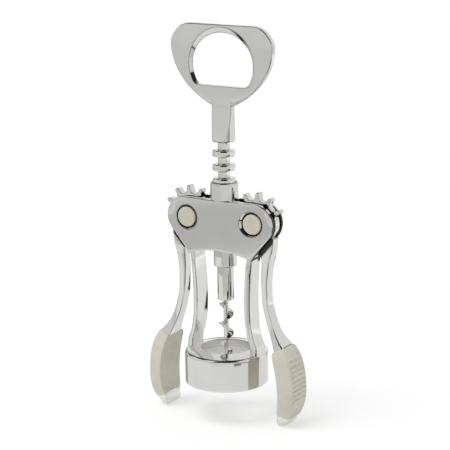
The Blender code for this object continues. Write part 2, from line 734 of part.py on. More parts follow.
def pivot(side, hand, steel, cream, parent):
    place = (side * PIVOT_OFFSET, 0, PIVOT_HEIGHT)
    seat = PIN_HEAD_FOOT
    head = seat + PIN_HEAD
    pin = [(0, -head), (PIN_RADIUS, -head), (PIN_RADIUS, seat), (PIN_HEAD_RADIUS, seat),
           (PIN_HEAD_RADIUS, head), (0, head)]
    add_piece(hand + "_pivot_pin", along_y(turned(pin), place), steel, parent)
    hole = PIN_RADIUS + FIT
    clip = [(hole, -seat), (hole, -head), (PIN_HEAD_RADIUS, -head), (PIN_HEAD_RADIUS, -seat)]
    add_piece(hand + "_pin_clip", along_y(turned(clip), place), steel, parent)
    crown = head + FIT + CAP_WALL
    cap = [(0, head + FIT), (CAP_BORE_RADIUS, head + FIT), (CAP_BORE_RADIUS, seat), (CAP_RADIUS, seat),
           (CAP_RADIUS, crown - CAP_EDGE), (CAP_RADIUS - CAP_EDGE, crown), (0, crown)]
    add_piece(hand + "_front_cap", along_y(turned(cap), place), cream, parent)
    back = [(radius, -depth) for radius, depth in cap]
    add_piece(hand + "_back_cap", along_y(turned(back), place), cream, parent)


# Rack, spindle and worm

def rack_sleeve(material, parent):
    bore = SPINDLE_RADIUS + FIT
    half = RACK_TOOTH / 2
    edge = RACK_TOOTH_EDGE
    profile = [(bore, NECK_FOOT - FIT), (bore, SHOE_FOOT),
               (RACK_RADIUS - edge / 2, SHOE_FOOT), (RACK_RADIUS, SHOE_FOOT + edge / 2),
               (RACK_RADIUS, SHOE_TOP - edge), (RACK_RADIUS - edge, SHOE_TOP),
               (RACK_ROOT_RADIUS, SHOE_TOP)]
    for k in range(RINGS_ABOVE + RINGS_BELOW + 1):
        middle = LOW_RING + k * RACK_PITCH
        profile += [(RACK_ROOT_RADIUS, middle - half), (RACK_RADIUS - edge, middle - half),
                    (RACK_RADIUS, middle - half + edge), (RACK_RADIUS, middle + half - edge),
                    (RACK_RADIUS - edge, middle + half), (RACK_ROOT_RADIUS, middle + half)]
    profile.append((RACK_ROOT_RADIUS, NECK_FOOT - FIT))
    add_piece("rack_sleeve", turned(profile, 24), material, parent)


def worm_holder(material, parent):
    body = turned([(0, HOLDER_FOOT), (HOLDER_RADIUS - HOLDER_EDGE, HOLDER_FOOT),
                   (HOLDER_RADIUS, HOLDER_FOOT + HOLDER_EDGE), (HOLDER_RADIUS, HOLDER_TOP),
                   (0, HOLDER_TOP)])
    piece = add_piece("worm_holder", body, material, parent)
    combine(piece, "DIFFERENCE", "spindle_socket",
            rod(SPINDLE_RADIUS + FIT, HOLDER_TOP - HOLDER_SOCKET, HOLDER_TOP + OVERRUN, 20))
    combine(piece, "DIFFERENCE", "worm_socket",
            rod(WORM_CORE_RADIUS + FIT, HOLDER_FOOT - OVERRUN, HOLDER_FOOT + WORM_SOCKET, 20))


def worm(material, parent):
    """Right-handed auger: a round core with one blade, skinned in level sections."""
    top = HOLDER_FOOT + WORM_SOCKET - FIT
    start = HOLDER_FOOT - FIT
    foot = start - WORM_LENGTH
    half_angle = math.pi * WORM_BLADE / WORM_PITCH
    sections = []
    steps_per_turn = 18
    steps = round(WORM_LENGTH / WORM_PITCH * steps_per_turn)
    heights = [top] + [start - WORM_LENGTH * k / steps for k in range(steps + 1)]
    for height in heights:
        turn = math.tau * ((height - foot) / WORM_PITCH + WORM_TURN_SHARE)
        taper = min((height - foot) / WORM_POINT, 1)
        core = WORM_CORE_RADIUS * (0.12 + 0.88 * taper)
        grow = min(max((start - height) / (WORM_PITCH * WORM_START_SHARE), 0), 1)
        reach = (WORM_RADIUS - WORM_CORE_RADIUS) * grow * (0.02 + 0.98 * taper)
        ring = [(core + reach * out, turn + place * half_angle) for place, out in WORM_BLADE_SHARES]
        rest = math.tau - 2 * half_angle
        ring += [(core, turn + half_angle + rest * k / 6) for k in range(1, 6)]
        sections.append([(r * math.cos(a), r * math.sin(a), height) for r, a in ring])
    add_piece("worm", loft(sections), material, parent)


# Bottle opener

def head_outline(inset):
    """Half of the head's outline, from the foot up to the crown on the right."""
    run = smooth_run(HEAD_SHARES, 2)
    half = HEAD_WIDTH / 2
    points = [Vector((half * x, HEAD_FOOT + HEAD_HEIGHT * z)) for x, z in run]
    points.append(Vector((0, HEAD_FOOT + HEAD_HEIGHT)))
    points.insert(0, Vector((0, HEAD_FOOT)))
    moved = []
    for i, point in enumerate(points):
        before = points[i - 1] if i else point - Vector((NECK_EDGE, 0))
        after = points[i + 1] if i < len(points) - 1 else point - Vector((NECK_EDGE, 0))
        along = (after - before).normalized()
        moved.append(point - Vector((along.y, -along.x)) * inset)
    return moved


def hole_radius(angle, radius, lip):
    """Distance from the hole's centre to its wall: a circle cut off by the flat lip below."""
    down = -math.sin(angle)
    if down <= 0 or radius * down <= lip:
        return radius
    return lip / down


def hole_outline(angles, draft, top_draft):
    radius = OPENER_RADIUS - draft
    lip = OPENER_CENTRE - OPENER_LIP_RISE
    drop = (top_draft - draft) / 2
    corner = math.asin(lip / radius)
    points = []
    for angle in angles:
        reach = hole_radius(angle, radius, lip)
        near = abs(abs(angle + math.pi / 2) - (math.pi / 2 - corner)) * radius
        if near < OPENER_CORNER:
            reach -= OPENER_CORNER * 0.16 * (1 - near / OPENER_CORNER) ** 2
        x = reach * math.cos(angle)
        z = reach * math.sin(angle)
        if z > 0:
            z -= 2 * drop * z / radius
        points.append((x, HEAD_FOOT + OPENER_CENTRE + z))
    return points


def opener_head():
    """Head as a loop of sections round the hole, each from the rim of the head to the hole's wall."""
    full = head_outline(0)
    eased = head_outline(HEAD_EDGE)
    centre = HEAD_FOOT + OPENER_CENTRE
    outer = [(p.x, p.y) for p in full] + [(-p.x, p.y) for p in full[-2:0:-1]]
    inner = [(p.x, p.y) for p in eased] + [(-p.x, p.y) for p in eased[-2:0:-1]]
    angles = []
    for x, z in outer:
        angle = math.atan2(z - centre, x)
        angles.append(angle if angle < math.pi / 2 else angle - math.tau)
    wide = hole_outline(angles, 0, 0)
    narrow = hole_outline(angles, OPENER_DRAFT, OPENER_TOP_DRAFT)
    half = HEAD_THICKNESS / 2
    sections = []
    for rim, face, mouth, waist in zip(outer, inner, wide, narrow):
        sections.append([
            (face[0], -half, face[1]), (rim[0], -half + HEAD_EDGE, rim[1]),
            (rim[0], half - HEAD_EDGE, rim[1]), (face[0], half, face[1]),
            (mouth[0], half, mouth[1]), (waist[0], 0, waist[1]), (mouth[0], -half, mouth[1])])
    return loft(sections, closed=True)


def neck():
    high = HEAD_FOOT + RACK_RADIUS / 2
    return turned([(0, NECK_FOOT), (RACK_RADIUS - NECK_EDGE, NECK_FOOT),
                   (RACK_RADIUS, NECK_FOOT + NECK_EDGE), (RACK_RADIUS, high), (0, high)], 40)


def neck_flat(face):
    """Cutter that takes the neck's round side back to the head's face, front (-1) or back (1)."""
    run = [(RACK_RADIUS * out, NECK_FOOT + NECK_LENGTH * up) for up, out in NECK_FLAT_SHARES]
    face_half = HEAD_THICKNESS / 2
    high = HEAD_FOOT + RACK_RADIUS
    slope = (run[-1][0] - face_half) / (HEAD_FOOT - run[-1][1])
    wide = RACK_RADIUS + OVERRUN
    profile = run + [(face_half - slope * RACK_RADIUS, high), (wide, high), (wide, NECK_FOOT)]
    return loft([[(x, face * y, z) for y, z in profile] for x in (-wide, wide)])


def opener(material, parent):
    handle = add_piece("opener_handle", opener_head(), material, parent)
    shank = neck()
    combine(handle, "UNION", "neck", shank)
    bpy.data.objects["neck"].modifiers.clear()
    for face, name in ((-1, "neck_front_flat"), (1, "neck_back_flat")):
        combine(bpy.data.objects["neck"], "DIFFERENCE", name, neck_flat(face))
    combine(handle, "DIFFERENCE", "neck_socket",
            rod(SPINDLE_RADIUS + FIT, NECK_FOOT - OVERRUN, NECK_FOOT + SPINDLE_REACH + FIT, 20))


def spindle(material, parent):
    low = HOLDER_TOP - HOLDER_SOCKET + FIT
    add_piece("spindle", rod(SPINDLE_RADIUS, low, NECK_FOOT + SPINDLE_REACH, 20), material, parent)


# The whole tool

def main():
    for thing in list(bpy.data.objects):
        bpy.data.objects.remove(thing, do_unlink=True)
    chrome = finish("chrome", CHROME, 1.0, 0.12)
    steel = finish("steel", STEEL, 1.0, 0.3)
    cream = finish("cream_plastic", CREAM, 0.0, 0.5)

    root = axis_empty("frame_axis", (0, 0, 0))
    bell_ring(chrome, root)
    frame(chrome, root)
    for side, hand in ((-1, "left"), (1, "right")):
        pivot(side, hand, steel, cream, root)
        hinge = axis_empty(hand + "_lever_axis", (side * PIVOT_OFFSET, 0, PIVOT_HEIGHT), root)
        lever(side, hand, chrome, hinge)
        grip(side, hand, cream, hinge)
    slide = axis_empty("rack_axis", (0, 0, PIVOT_HEIGHT), root)
    rack_sleeve(chrome, slide)
    swivel = axis_empty("spindle_axis", (0, 0, HEAD_FOOT), slide)
    opener(chrome, swivel)
    spindle(steel, swivel)
    worm_holder(chrome, swivel)
    worm(steel, swivel)


main()
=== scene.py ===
"""Looks for the winged corkscrew: smooth surfaces, finishes, floor, light and camera."""
import json
import math

import bmesh
import bpy
from mathutils import Matrix, Vector

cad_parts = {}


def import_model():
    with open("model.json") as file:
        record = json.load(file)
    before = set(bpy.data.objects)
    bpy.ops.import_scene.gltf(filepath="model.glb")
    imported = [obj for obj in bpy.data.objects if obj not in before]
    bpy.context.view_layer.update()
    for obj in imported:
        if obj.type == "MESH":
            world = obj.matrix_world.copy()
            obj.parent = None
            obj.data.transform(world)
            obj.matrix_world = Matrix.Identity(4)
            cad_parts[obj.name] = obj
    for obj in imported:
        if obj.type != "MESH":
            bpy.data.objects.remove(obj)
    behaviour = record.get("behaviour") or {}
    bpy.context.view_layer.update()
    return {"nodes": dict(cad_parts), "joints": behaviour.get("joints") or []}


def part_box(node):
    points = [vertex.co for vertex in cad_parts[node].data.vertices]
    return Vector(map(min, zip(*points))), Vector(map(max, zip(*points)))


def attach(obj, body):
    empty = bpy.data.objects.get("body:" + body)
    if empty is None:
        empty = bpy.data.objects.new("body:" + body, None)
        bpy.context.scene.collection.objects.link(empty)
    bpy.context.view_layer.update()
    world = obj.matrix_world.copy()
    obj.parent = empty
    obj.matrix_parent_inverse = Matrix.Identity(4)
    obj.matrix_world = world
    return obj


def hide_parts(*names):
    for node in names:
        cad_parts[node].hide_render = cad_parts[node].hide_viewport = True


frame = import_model()

MM = 0.001
FIT = 0.3 * MM

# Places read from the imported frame
BELL_LOW, BELL_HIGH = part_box("bell_ring")
FRAME_LOW, FRAME_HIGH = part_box("frame")
HEAD_LOW, HEAD_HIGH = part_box("opener_handle")
RACK_LOW, RACK_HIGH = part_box("rack_sleeve")
HOLDER_LOW, HOLDER_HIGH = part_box("worm_holder")
WORM_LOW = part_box("worm")[0]
CAP_LOW, CAP_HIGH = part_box("right_front_cap")
PIVOT = Vector(frame["joints"][0]["pos_m"])
PIVOT_OFFSET, PIVOT_HEIGHT = PIVOT.x, PIVOT.z

# Bell ring
BELL_RADIUS = BELL_HIGH.x
BELL_LIFT = BELL_LOW.z
BELL_HEIGHT = 16.1 * MM
BELL_SHOULDER = BELL_LIFT + BELL_HEIGHT
BELL_WALL = 3.1 * MM
BELL_BORE_RADIUS = BELL_RADIUS - BELL_WALL
BELL_HOLE_RADIUS = 12.5 * MM
BELL_LEDGE = 3.0 * MM
BELL_CROWN = 1.4 * MM
BELL_EDGE = 0.8 * MM
BELL_BROW = 1.5 * MM          # rounding of the upper outer edge

# Legs
LEG_HEIGHT = 48.0 * MM
LEG_INSET = 2.2 * MM
LEG_FOOT_OFFSET = BELL_RADIUS - LEG_INSET
LEG_THICKNESS = 2.75 * MM
LEG_DEPTH = 10.4 * MM
LEG_SHARES = (                # height, offset from the axis, thickness, depth
    (-0.05, 0.992, 1.30, 1.00),
    (0.08, 0.978, 1.12, 1.00),
    (0.18, 0.895, 0.97, 1.00),
    (0.35, 0.820, 0.95, 1.00),
    (0.56, 0.803, 1.00, 1.00),
    (0.77, 0.825, 0.95, 1.00),
    (0.89, 0.850, 0.97, 1.00),
    (0.95, 0.864, 0.98, 0.98),
    (1.00, 0.892, 1.13, 0.90),
    (1.05, 0.923, 1.42, 0.84),
)
LEG_FLARE_SHARES = LEG_SHARES[-4]     # row above which a leg widens into the plates
LEG_SLOPE = 1.0 * MM          # bevel along a leg's outer edges
LEG_EDGE = 0.5 * MM

# Plates, guide and collar
EAR_SHIFT = 1.4 * MM
EAR_OFFSET = PIVOT_OFFSET + EAR_SHIFT
EAR_RADIUS = FRAME_HIGH.x - EAR_OFFSET
EAR_DEPTH = 10.6 * MM
PLATE_FOOT = BELL_SHOULDER + LEG_HEIGHT
FILLET_RADIUS = 13.8 * MM
FILLET_DROP = 5.4 * MM
LEG_HEAD_OFFSET = LEG_FOOT_OFFSET * LEG_FLARE_SHARES[1] + LEG_THICKNESS * LEG_FLARE_SHARES[2] / 2
FILLET_OFFSET = LEG_HEAD_OFFSET + FILLET_RADIUS
FILLET_HEIGHT = PLATE_FOOT - FILLET_DROP
PLATE_FOOT_OFFSET = FILLET_OFFSET - math.sqrt(FILLET_RADIUS ** 2 - FILLET_DROP ** 2)
PLATE_ARCH = 3.2 * MM
PLATE_DEPTH = FRAME_HIGH.y - FRAME_LOW.y
PLATE_RIM = 0.6 * MM
PLATE_ROW_SHARES = (0.03, 0.07, 0.13, 0.22, 0.40)   # rows that keep the face flat above its rim
COLLAR_MOUTH = FRAME_HIGH.z
GUIDE_RADIUS = RACK_HIGH.x + FIT
GUIDE_WALL = 1.6 * MM
GUIDE_OFFSET = GUIDE_RADIUS + GUIDE_WALL
COLLAR_WALL = 0.9 * MM
COLLAR_RADIUS = GUIDE_RADIUS + COLLAR_WALL
GEAR_RADIUS = 15.0 * MM
SLOT_HALF = 3.3 * MM
SLOT_RADIUS = GEAR_RADIUS + FIT
OVERRUN = 5 * MM
COLLAR_EDGE = 0.4 * MM
RECESS_WEB = 0.7 * MM
RECESS_FLOOR = SLOT_HALF + RECESS_WEB
CAP_GROOVE = 0.8 * MM
CAP_DOME = 0.15 * MM
CAP_DOME_SHARE = 0.55         # how much of a cap's face is domed
CAP_EDGES = (0.1 * MM, 0.6 * MM, 2.0 * MM)
RECESS_FLARE = 0.45 * MM      # bright bevel round the mouth of each recess

# Rack, holder and worm
RACK_RADIUS = RACK_HIGH.x
RACK_ROOT_RADIUS = 2.9 * MM
RACK_PITCH = 6.89 * MM
RACK_PHASE = 1.88 * MM
RACK_TOOTH = 3.3 * MM
RACK_TOOTH_EDGE = 1.5 * MM
RACK_TEETH = 7
RACK_BORE = 1.8 * MM
HOLDER_RADIUS = HOLDER_HIGH.x
HOLDER_EDGE = 0.7 * MM
WORM_STUB = 2.0 * MM          # how far the worm reaches up into its holder
WORM_RADIUS = 3.7 * MM
WORM_CORE_RADIUS = 1.15 * MM
WORM_PITCH = 9.85 * MM
WORM_BLADE = 2.1 * MM
WORM_BLADE_SHARES = (         # place from the top of the blade to its foot, reach
    (-1.00, 0.00),
    (-0.97, 0.45),
    (-0.90, 0.88),
    (-0.82, 1.00),
    (-0.70, 0.93),
    (-0.45, 0.74),
    (-0.15, 0.55),
    (0.20, 0.36),
    (0.60, 0.16),
    (1.00, 0.00),
)
WORM_START_SHARE = 0.1
WORM_POINT = 7.0 * MM
WORM_TURN_SHARE = 0.65

# Levers
TIP_OFFSET = 35.0 * MM
REACH = TIP_OFFSET - PIVOT_OFFSET
LEVER_THICKNESS = 6.0 * MM
HUB_RADIUS = 6.5 * MM
GEAR_THICKNESS = 4.0 * MM
RING_CLEARANCE = 1.6 * MM
GEAR_ROOT_RADIUS = PIVOT_OFFSET - RACK_RADIUS - RING_CLEARANCE
GEAR_PITCH_RADIUS = 13.55 * MM
GEAR_TEETH = 7
TOOTH_WIDTH = 3.5 * MM
TOOTH_BEVEL = 0.4 * MM
TOOTH_SHARES = (              # height and width of a tooth, root to tip
    (0.00, 1.00),
    (0.25, 0.72),
    (0.55, 0.60),
    (0.78, 0.57),
    (0.93, 0.45),
    (1.00, 0.20),
)
TOOTH_STEP = RACK_PITCH / GEAR_PITCH_RADIUS
ARM_THICKNESS = 3.2 * MM
ARM_SHARES = (                # reach, height, thickness, half depth
    (0.333, 0.930, 3.00, 1.00),
    (0.362, 0.865, 2.20, 1.00),
    (0.345, 0.805, 1.38, 1.00),
    (0.306, 0.739, 1.12, 1.00),
    (0.303, 0.674, 1.00, 1.00),
    (0.333, 0.604, 0.97, 1.00),
    (0.409, 0.550, 0.97, 1.03),
    (0.491, 0.503, 0.97, 1.10),
    (0.585, 0.463, 1.02, 1.23),
    (0.709, 0.423, 1.27, 1.53),
    (0.842, 0.387, 1.70, 2.00),
)
CORE_SHARES = (               # reach and height of the line through the grip
    (0.842, 0.387),
    (0.933, 0.355),
    (1.030, 0.312),
    (1.097, 0.262),
    (1.133, 0.206),
    (1.139, 0.150),
    (1.095, 0.098),
    (0.997, 0.050),
)
ARM_OUTER_SHARE = 1.7         # widest that the arm's outer side gets, over the lever's thickness
ARM_EDGE = 0.8 * MM
REBATE_HALF = 2.6 * MM        # half depth of the arm where it runs between the plates
REBATE_REACH = 2.3 * MM       # how far that goes beyond the plates' outline
STUB = 1.2 * MM               # how far the arm and the tip reach into the grip
TIP_THICKNESS = 5.8 * MM
TIP_DEPTH = 13.4 * MM
TIP_OUTER_DEPTH = 10.2 * MM
TIP_EDGE = 0.9 * MM
TIP_SHARES = (                # height, reach, thickness, depth
    (0.0300, 0.961, 0.98, 0.97),
    (0.0145, 0.940, 0.86, 0.87),
    (0.0045, 0.928, 0.60, 0.70),
    (0.0000, 0.925, 0.34, 0.54),
)

# Grips
GRIP_THICKNESS = 7.7 * MM
GRIP_WIDTH = 18.6 * MM
GRIP_OUTER_WIDTH = 14.9 * MM
GRIP_HOLLOW = 0.5 * MM
GRIP_EDGE = 0.9 * MM
GRIP_END = 0.5 * MM           # rounding at the grip's ends
GRIP_BULGE = 0.3 * MM         # crown of the outer face
GRIP_CROWN_REACH = 4.0 * MM   # length over which the middles of the faces are rounded
GRIP_SHARES = (               # place along the grip, thickness, width
    (0.00, 0.78, 0.77),
    (0.10, 0.89, 0.88),
    (0.22, 0.97, 0.96),
    (0.38, 1.00, 1.00),
    (0.55, 1.00, 1.00),
    (0.72, 0.98, 0.99),
    (0.88, 0.92, 0.92),
    (1.00, 0.80, 0.75),
)
RIB_COUNT = 10
RIB_PITCH = 2.15 * MM
RIB_RADIUS = 0.55 * MM
RIB_SPREAD = 1.3              # how much wider a rib is at its foot
RIB_RISE = 0.1 * MM
RIB_LENGTH_SHARE = 0.88
RIB_START_SHARE = 0.17
RIB_HEIGHT_SHARE = 0.8        # height of a rib's section over its half width
RIB_END_SHARE = 0.12          # what is left of a rib's section at its ends

# Bottle opener
NECK_LENGTH = 17.5 * MM
NECK_FOOT = HEAD_LOW.z
HEAD_FOOT = NECK_FOOT + NECK_LENGTH
HEAD_HEIGHT = HEAD_HIGH.z - HEAD_FOOT
HEAD_WIDTH = HEAD_HIGH.x - HEAD_LOW.x
HEAD_THICKNESS = 3.2 * MM
HEAD_EDGE = 0.6 * MM
LIP_EDGE = 0.35 * MM          # bevel at the hole's mouths
NECK_EDGE = 0.9 * MM
NECK_CREASE = 0.12 * MM       # rounding between a flat and the round side
NECK_FLAT_SHARES = (          # height on the neck, distance of its flats from the axis
    (0.00, 0.960),
    (0.03, 0.870),
    (0.09, 0.780),
    (0.20, 0.680),
    (0.40, 0.530),
    (0.63, 0.400),
    (0.82, 0.320),
)
OPENER_RADIUS = 17.7 * MM
OPENER_CROWN = 1.5 * MM
OPENER_LIP_RISE = 9.3 * MM
OPENER_BLEND = 0.8 * MM
OPENER_DRAFT = 1.0 * MM
OPENER_TOP_DRAFT = 2.4 * MM
OPENER_CENTRE = HEAD_HEIGHT - OPENER_CROWN - OPENER_RADIUS
HEAD_SHARES = (               # half width and height of the outline, foot to crown
    (0.215, 0.000),
    (0.345, 0.050),
    (0.510, 0.125),
    (0.690, 0.240),
    (0.840, 0.375),
    (0.930, 0.495),
    (0.982, 0.625),
    (1.000, 0.735),
    (0.985, 0.805),
    (0.930, 0.875),
    (0.840, 0.945),
    (0.740, 0.985),
    (0.640, 1.000),
    (0.400, 1.000),
    (0.200, 1.000),
)


# Curves and outlines

def smooth_run(rows, steps):
    """Catmull-Rom curve through rows of numbers, with some steps between each two rows."""
    run = []
    for i in range(len(rows) - 1):
        before = rows[max(i - 1, 0)]
        after = rows[min(i + 2, len(rows) - 1)]
        for k in range(steps):
            t = k / steps
            run.append(tuple(
                0.5 * (2 * b + (c - a) * t + (2 * a - 5 * b + 4 * c - d) * t * t
                       + (3 * b - a - 3 * c + d) * t ** 3)
                for a, b, c, d in zip(before, rows[i], rows[i + 1], after)))
    run.append(tuple(rows[-1]))
    return run


def eased_corner(before, corner, after, radius, steps):
    """Points that round one corner of an outline."""
    corner = Vector(corner)
    back, ahead = Vector(before) - corner, Vector(after) - corner
    reach = min(radius, 0.48 * back.length, 0.48 * ahead.length)
    start = corner + back.normalized() * reach
    stop = corner + ahead.normalized() * reach
    shares = [k / steps for k in range(steps + 1)]
    return [start * (1 - t) ** 2 + corner * 2 * t * (1 - t) + stop * t * t for t in shares]


def rounded(corners, radii, steps=4):
    """Closed outline with each corner rounded, with as many points whatever the corners."""
    points = []
    befores, afters = corners[-1:] + corners, corners[1:] + corners[:1]
    for before, corner, after, radius in zip(befores, corners, afters, radii):
        points += eased_corner(before, corner, after, radius, steps)
    return points


def around(radius, angle):
    return radius * math.cos(angle), radius * math.sin(angle)


def arc(centre, radius, start, stop, steps):
    angles = [math.radians(start + (stop - start) * k / steps) for k in range(steps + 1)]
    return [(centre[0] + radius * math.cos(a), centre[1] + radius * math.sin(a)) for a in angles]


def eased_profile(points, radii, steps=4):
    """Open profile of (radius, height) with its inner corners rounded."""
    result = [points[0]]
    for before, corner, after, radius in zip(points, points[1:], points[2:], radii):
        if radius == 0:
            result.append(corner)
        else:
            result += [tuple(p) for p in eased_corner(before, corner, after, radius, steps)]
    return result + [points[-1]]


def headings(points):
    ends = zip([points[0]] + points[:-1], points[1:] + [points[-1]])
    return [(after - before).normalized() for before, after in ends]


# Meshes

def add_to_scene(name, data):
    thing = bpy.data.objects.new(name, data)
    bpy.context.scene.collection.objects.link(thing)
    return thing


def add_object(name, mesh, material, sharp=32):
    bmesh.ops.recalc_face_normals(mesh, faces=mesh.faces)
    data = bpy.data.meshes.new(name)
    mesh.to_mesh(data)
    mesh.free()
    data.materials.append(material)
    data.shade_smooth()
    data.set_sharp_from_angle(angle=math.radians(sharp))
    return add_to_scene(name, data)


def dress(piece, body, slot, *nodes):
    """Let a piece ride on a body in place of some nodes. The slot argument is not used."""
    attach(piece, body)
    if nodes:
        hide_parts(*nodes)
    return piece


def loft(sections, closed=False):
    mesh = bmesh.new()
    rings = [[mesh.verts.new(point) for point in section] for section in sections]
    count = len(rings[0])
    pairs = list(zip(rings, rings[1:]))
    if closed:
        pairs.append((rings[-1], rings[0]))
    for low, high in pairs:
        for i in range(count):
            j = (i + 1) % count
            mesh.faces.new((low[i], low[j], high[j], high[i]))
    if not closed:
        mesh.faces.new(rings[0])
        mesh.faces.new(rings[-1])
    return mesh


def turned(profile, segments):
    """Turn a profile of (radius, height) about a vertical axis, from pole to pole or as a ring."""
    solid = profile[0][0] == 0
    mesh = bmesh.new()
    poles = [mesh.verts.new((0, 0, height)) for radius, height in profile if radius == 0]
    body = [point for point in profile if point[0] > 0]
    angles = [math.tau * k / segments for k in range(segments)]
    columns = [[mesh.verts.new((*around(radius, angle), height)) for radius, height in body]
               for angle in angles]
    for here, there in zip(columns, columns[1:] + columns[:1]):
        for i in range(len(body) - 1):
            mesh.faces.new((here[i], there[i], there[i + 1], here[i + 1]))
        if solid:
            mesh.faces.new((poles[0], there[0], here[0]))
            mesh.faces.new((poles[1], here[-1], there[-1]))
        else:
            mesh.faces.new((here[-1], there[-1], there[0], here[0]))
    return mesh


def along_y(mesh, place):
    for vert in mesh.verts:
        x, y, z = vert.co
        vert.co = (place[0] + x, place[1] - z, place[2] + y)
    return mesh


def prism(outline, front, back):
    return loft([[(x, front, z) for x, z in outline], [(x, back, z) for x, z in outline]])


def cut(piece, operation, mesh, material):
    """Join or cut a piece with a mesh, and apply the result. The new faces take the material."""
    tool = add_object("tool", mesh, material)
    modifier = piece.modifiers.new("cut", "BOOLEAN")
    modifier.operation = operation
    modifier.solver = "EXACT"
    modifier.material_mode = "TRANSFER"
    modifier.object = tool
    apply_modifiers(piece)
    bpy.data.objects.remove(tool, do_unlink=True)


def apply_modifiers(piece, sharp=32):
    graph = bpy.context.evaluated_depsgraph_get()
    data = bpy.data.meshes.new_from_object(piece.evaluated_get(graph))
    piece.modifiers.clear()
    piece.data = data
    data.shade_smooth()
    data.set_sharp_from_angle(angle=math.radians(sharp))


def soften(piece, width, segments=3, angle=30):
    modifier = piece.modifiers.new("soften", "BEVEL")
    modifier.width = width
    modifier.segments = segments
    modifier.limit_method = "ANGLE"
    modifier.angle_limit = math.radians(angle)
    apply_modifiers(piece)


# Materials

def shader_material(name):
    material = bpy.data.materials.new(name)
    material.use_nodes = True
    tree = material.node_tree
    return material, tree, tree.nodes["Principled BSDF"]


def add_node(tree, kind, **values):
    node = tree.nodes.new(kind)
    for key, value in values.items():
        if key in node.inputs:
            node.inputs[key].default_value = value
        else:
            setattr(node, key, value)
    return node


def noise(tree, coordinates, scale, detail=3.0, roughness=0.5):
    node = add_node(tree, "ShaderNodeTexNoise", Scale=scale, Detail=detail, Roughness=roughness)
    tree.links.new(coordinates, node.inputs["Vector"])
    return node.outputs["Fac"]


def ramp(tree, factor, stops):
    node = tree.nodes.new("ShaderNodeValToRGB")
    elements = node.color_ramp.elements
    while len(elements) < len(stops):
        elements.new(0.5)
    for element, (place, colour) in zip(elements, stops):
        element.position = place
        element.color = colour
    tree.links.new(factor, node.inputs["Fac"])
    return node.outputs["Color"]


def bump(tree, height, strength, distance, below=None):
    node = add_node(tree, "ShaderNodeBump", Strength=strength, Distance=distance)
    tree.links.new(height, node.inputs["Height"])
    if below is not None:
        tree.links.new(below, node.inputs["Normal"])
    return node.outputs["Normal"]


def grey(level, tint=(1, 1, 1)):
    return (*[level * share for share in tint], 1.0)


def edge_mask(tree, reach):
    """1 along the edges of a piece and 0 on its faces."""
    eased = add_node(tree, "ShaderNodeBevel", samples=6, Radius=reach)
    face = tree.nodes.new("ShaderNodeNewGeometry")
    dot = add_node(tree, "ShaderNodeVectorMath", operation="DOT_PRODUCT")
    tree.links.new(eased.outputs["Normal"], dot.inputs[0])
    tree.links.new(face.outputs["Normal"], dot.inputs[1])
    span = tree.nodes.new("ShaderNodeMapRange")
    span.inputs["From Min"].default_value = EDGE_STARTS
    span.inputs["From Max"].default_value = EDGE_FULL
    tree.links.new(dot.outputs["Value"], span.inputs["Value"])
    return span.outputs["Result"]


def blend(tree, factor, below, above):
    """Mix of a colour socket towards a plain colour."""
    node = add_node(tree, "ShaderNodeMix", data_type="RGBA")
    tree.links.new(factor, node.inputs[0])
    tree.links.new(below, node.inputs[6])
    node.inputs[7].default_value = above
    return node.outputs[2]


def plated(name, level, rough, wave):
    """Bright nickel-chrome over a casting: faint cloudiness, a polisher's haze, a slight waviness,
    and edges and creases darkened in the base colour, as painted shade and painted dark reflection lines."""
    material, tree, shader = shader_material(name)
    place = tree.nodes.new("ShaderNodeTexCoord").outputs["Object"]
    tint = (1.0, 0.995, 0.965)
    cloud = noise(tree, place, 60, 4.0)
    colour = ramp(tree, cloud, ((0.3, grey(level * 0.97, tint)), (0.7, grey(level * 1.02, tint))))
    # painted shade and painted dark reflection lines: the base colour darkens along edges and creases
    painted_edge_shade = edge_mask(tree, EDGE_REACH)
    tree.links.new(blend(tree, painted_edge_shade, colour, grey(level * PAINTED_EDGE_SHADE_LEVEL, tint)), shader.inputs["Base Color"])
    haze = noise(tree, place, 900, 5.0, 0.65)
    tree.links.new(ramp(tree, haze, ((0.35, grey(rough * 0.8)), (0.75, grey(rough * 1.35)))),
                   shader.inputs["Roughness"])
    ripple = bump(tree, noise(tree, place, 90, 1.0), wave, RIPPLE_HEIGHT)
    tree.links.new(bump(tree, haze, 0.02, HAZE_HEIGHT, ripple), shader.inputs["Normal"])
    shader.inputs["Metallic"].default_value = 1.0
    return material


def plastic(name, colour, rough, grain):
    """Moulded plastic: fine spark-eroded grain, faint mottling and a soft satin sheen."""
    material, tree, shader = shader_material(name)
    place = tree.nodes.new("ShaderNodeTexCoord").outputs["Object"]
    mottle = noise(tree, place, 140, 4.0, 0.6)
    dark = tuple(0.95 * c for c in colour)
    light = tuple(min(1.03 * c, 1) for c in colour)
    tree.links.new(ramp(tree, mottle, ((0.35, (*dark, 1)), (0.65, (*light, 1)))),
                   shader.inputs["Base Color"])
    fine = noise(tree, place, 2600, 3.0, 0.6)
    tree.links.new(ramp(tree, fine, ((0.3, grey(rough * 0.9)), (0.7, grey(rough * 1.1)))),
                   shader.inputs["Roughness"])
    tree.links.new(bump(tree, fine, grain, GRAIN_HEIGHT), shader.inputs["Normal"])
    shader.inputs["Specular IOR Level"].default_value = 0.4
    return material


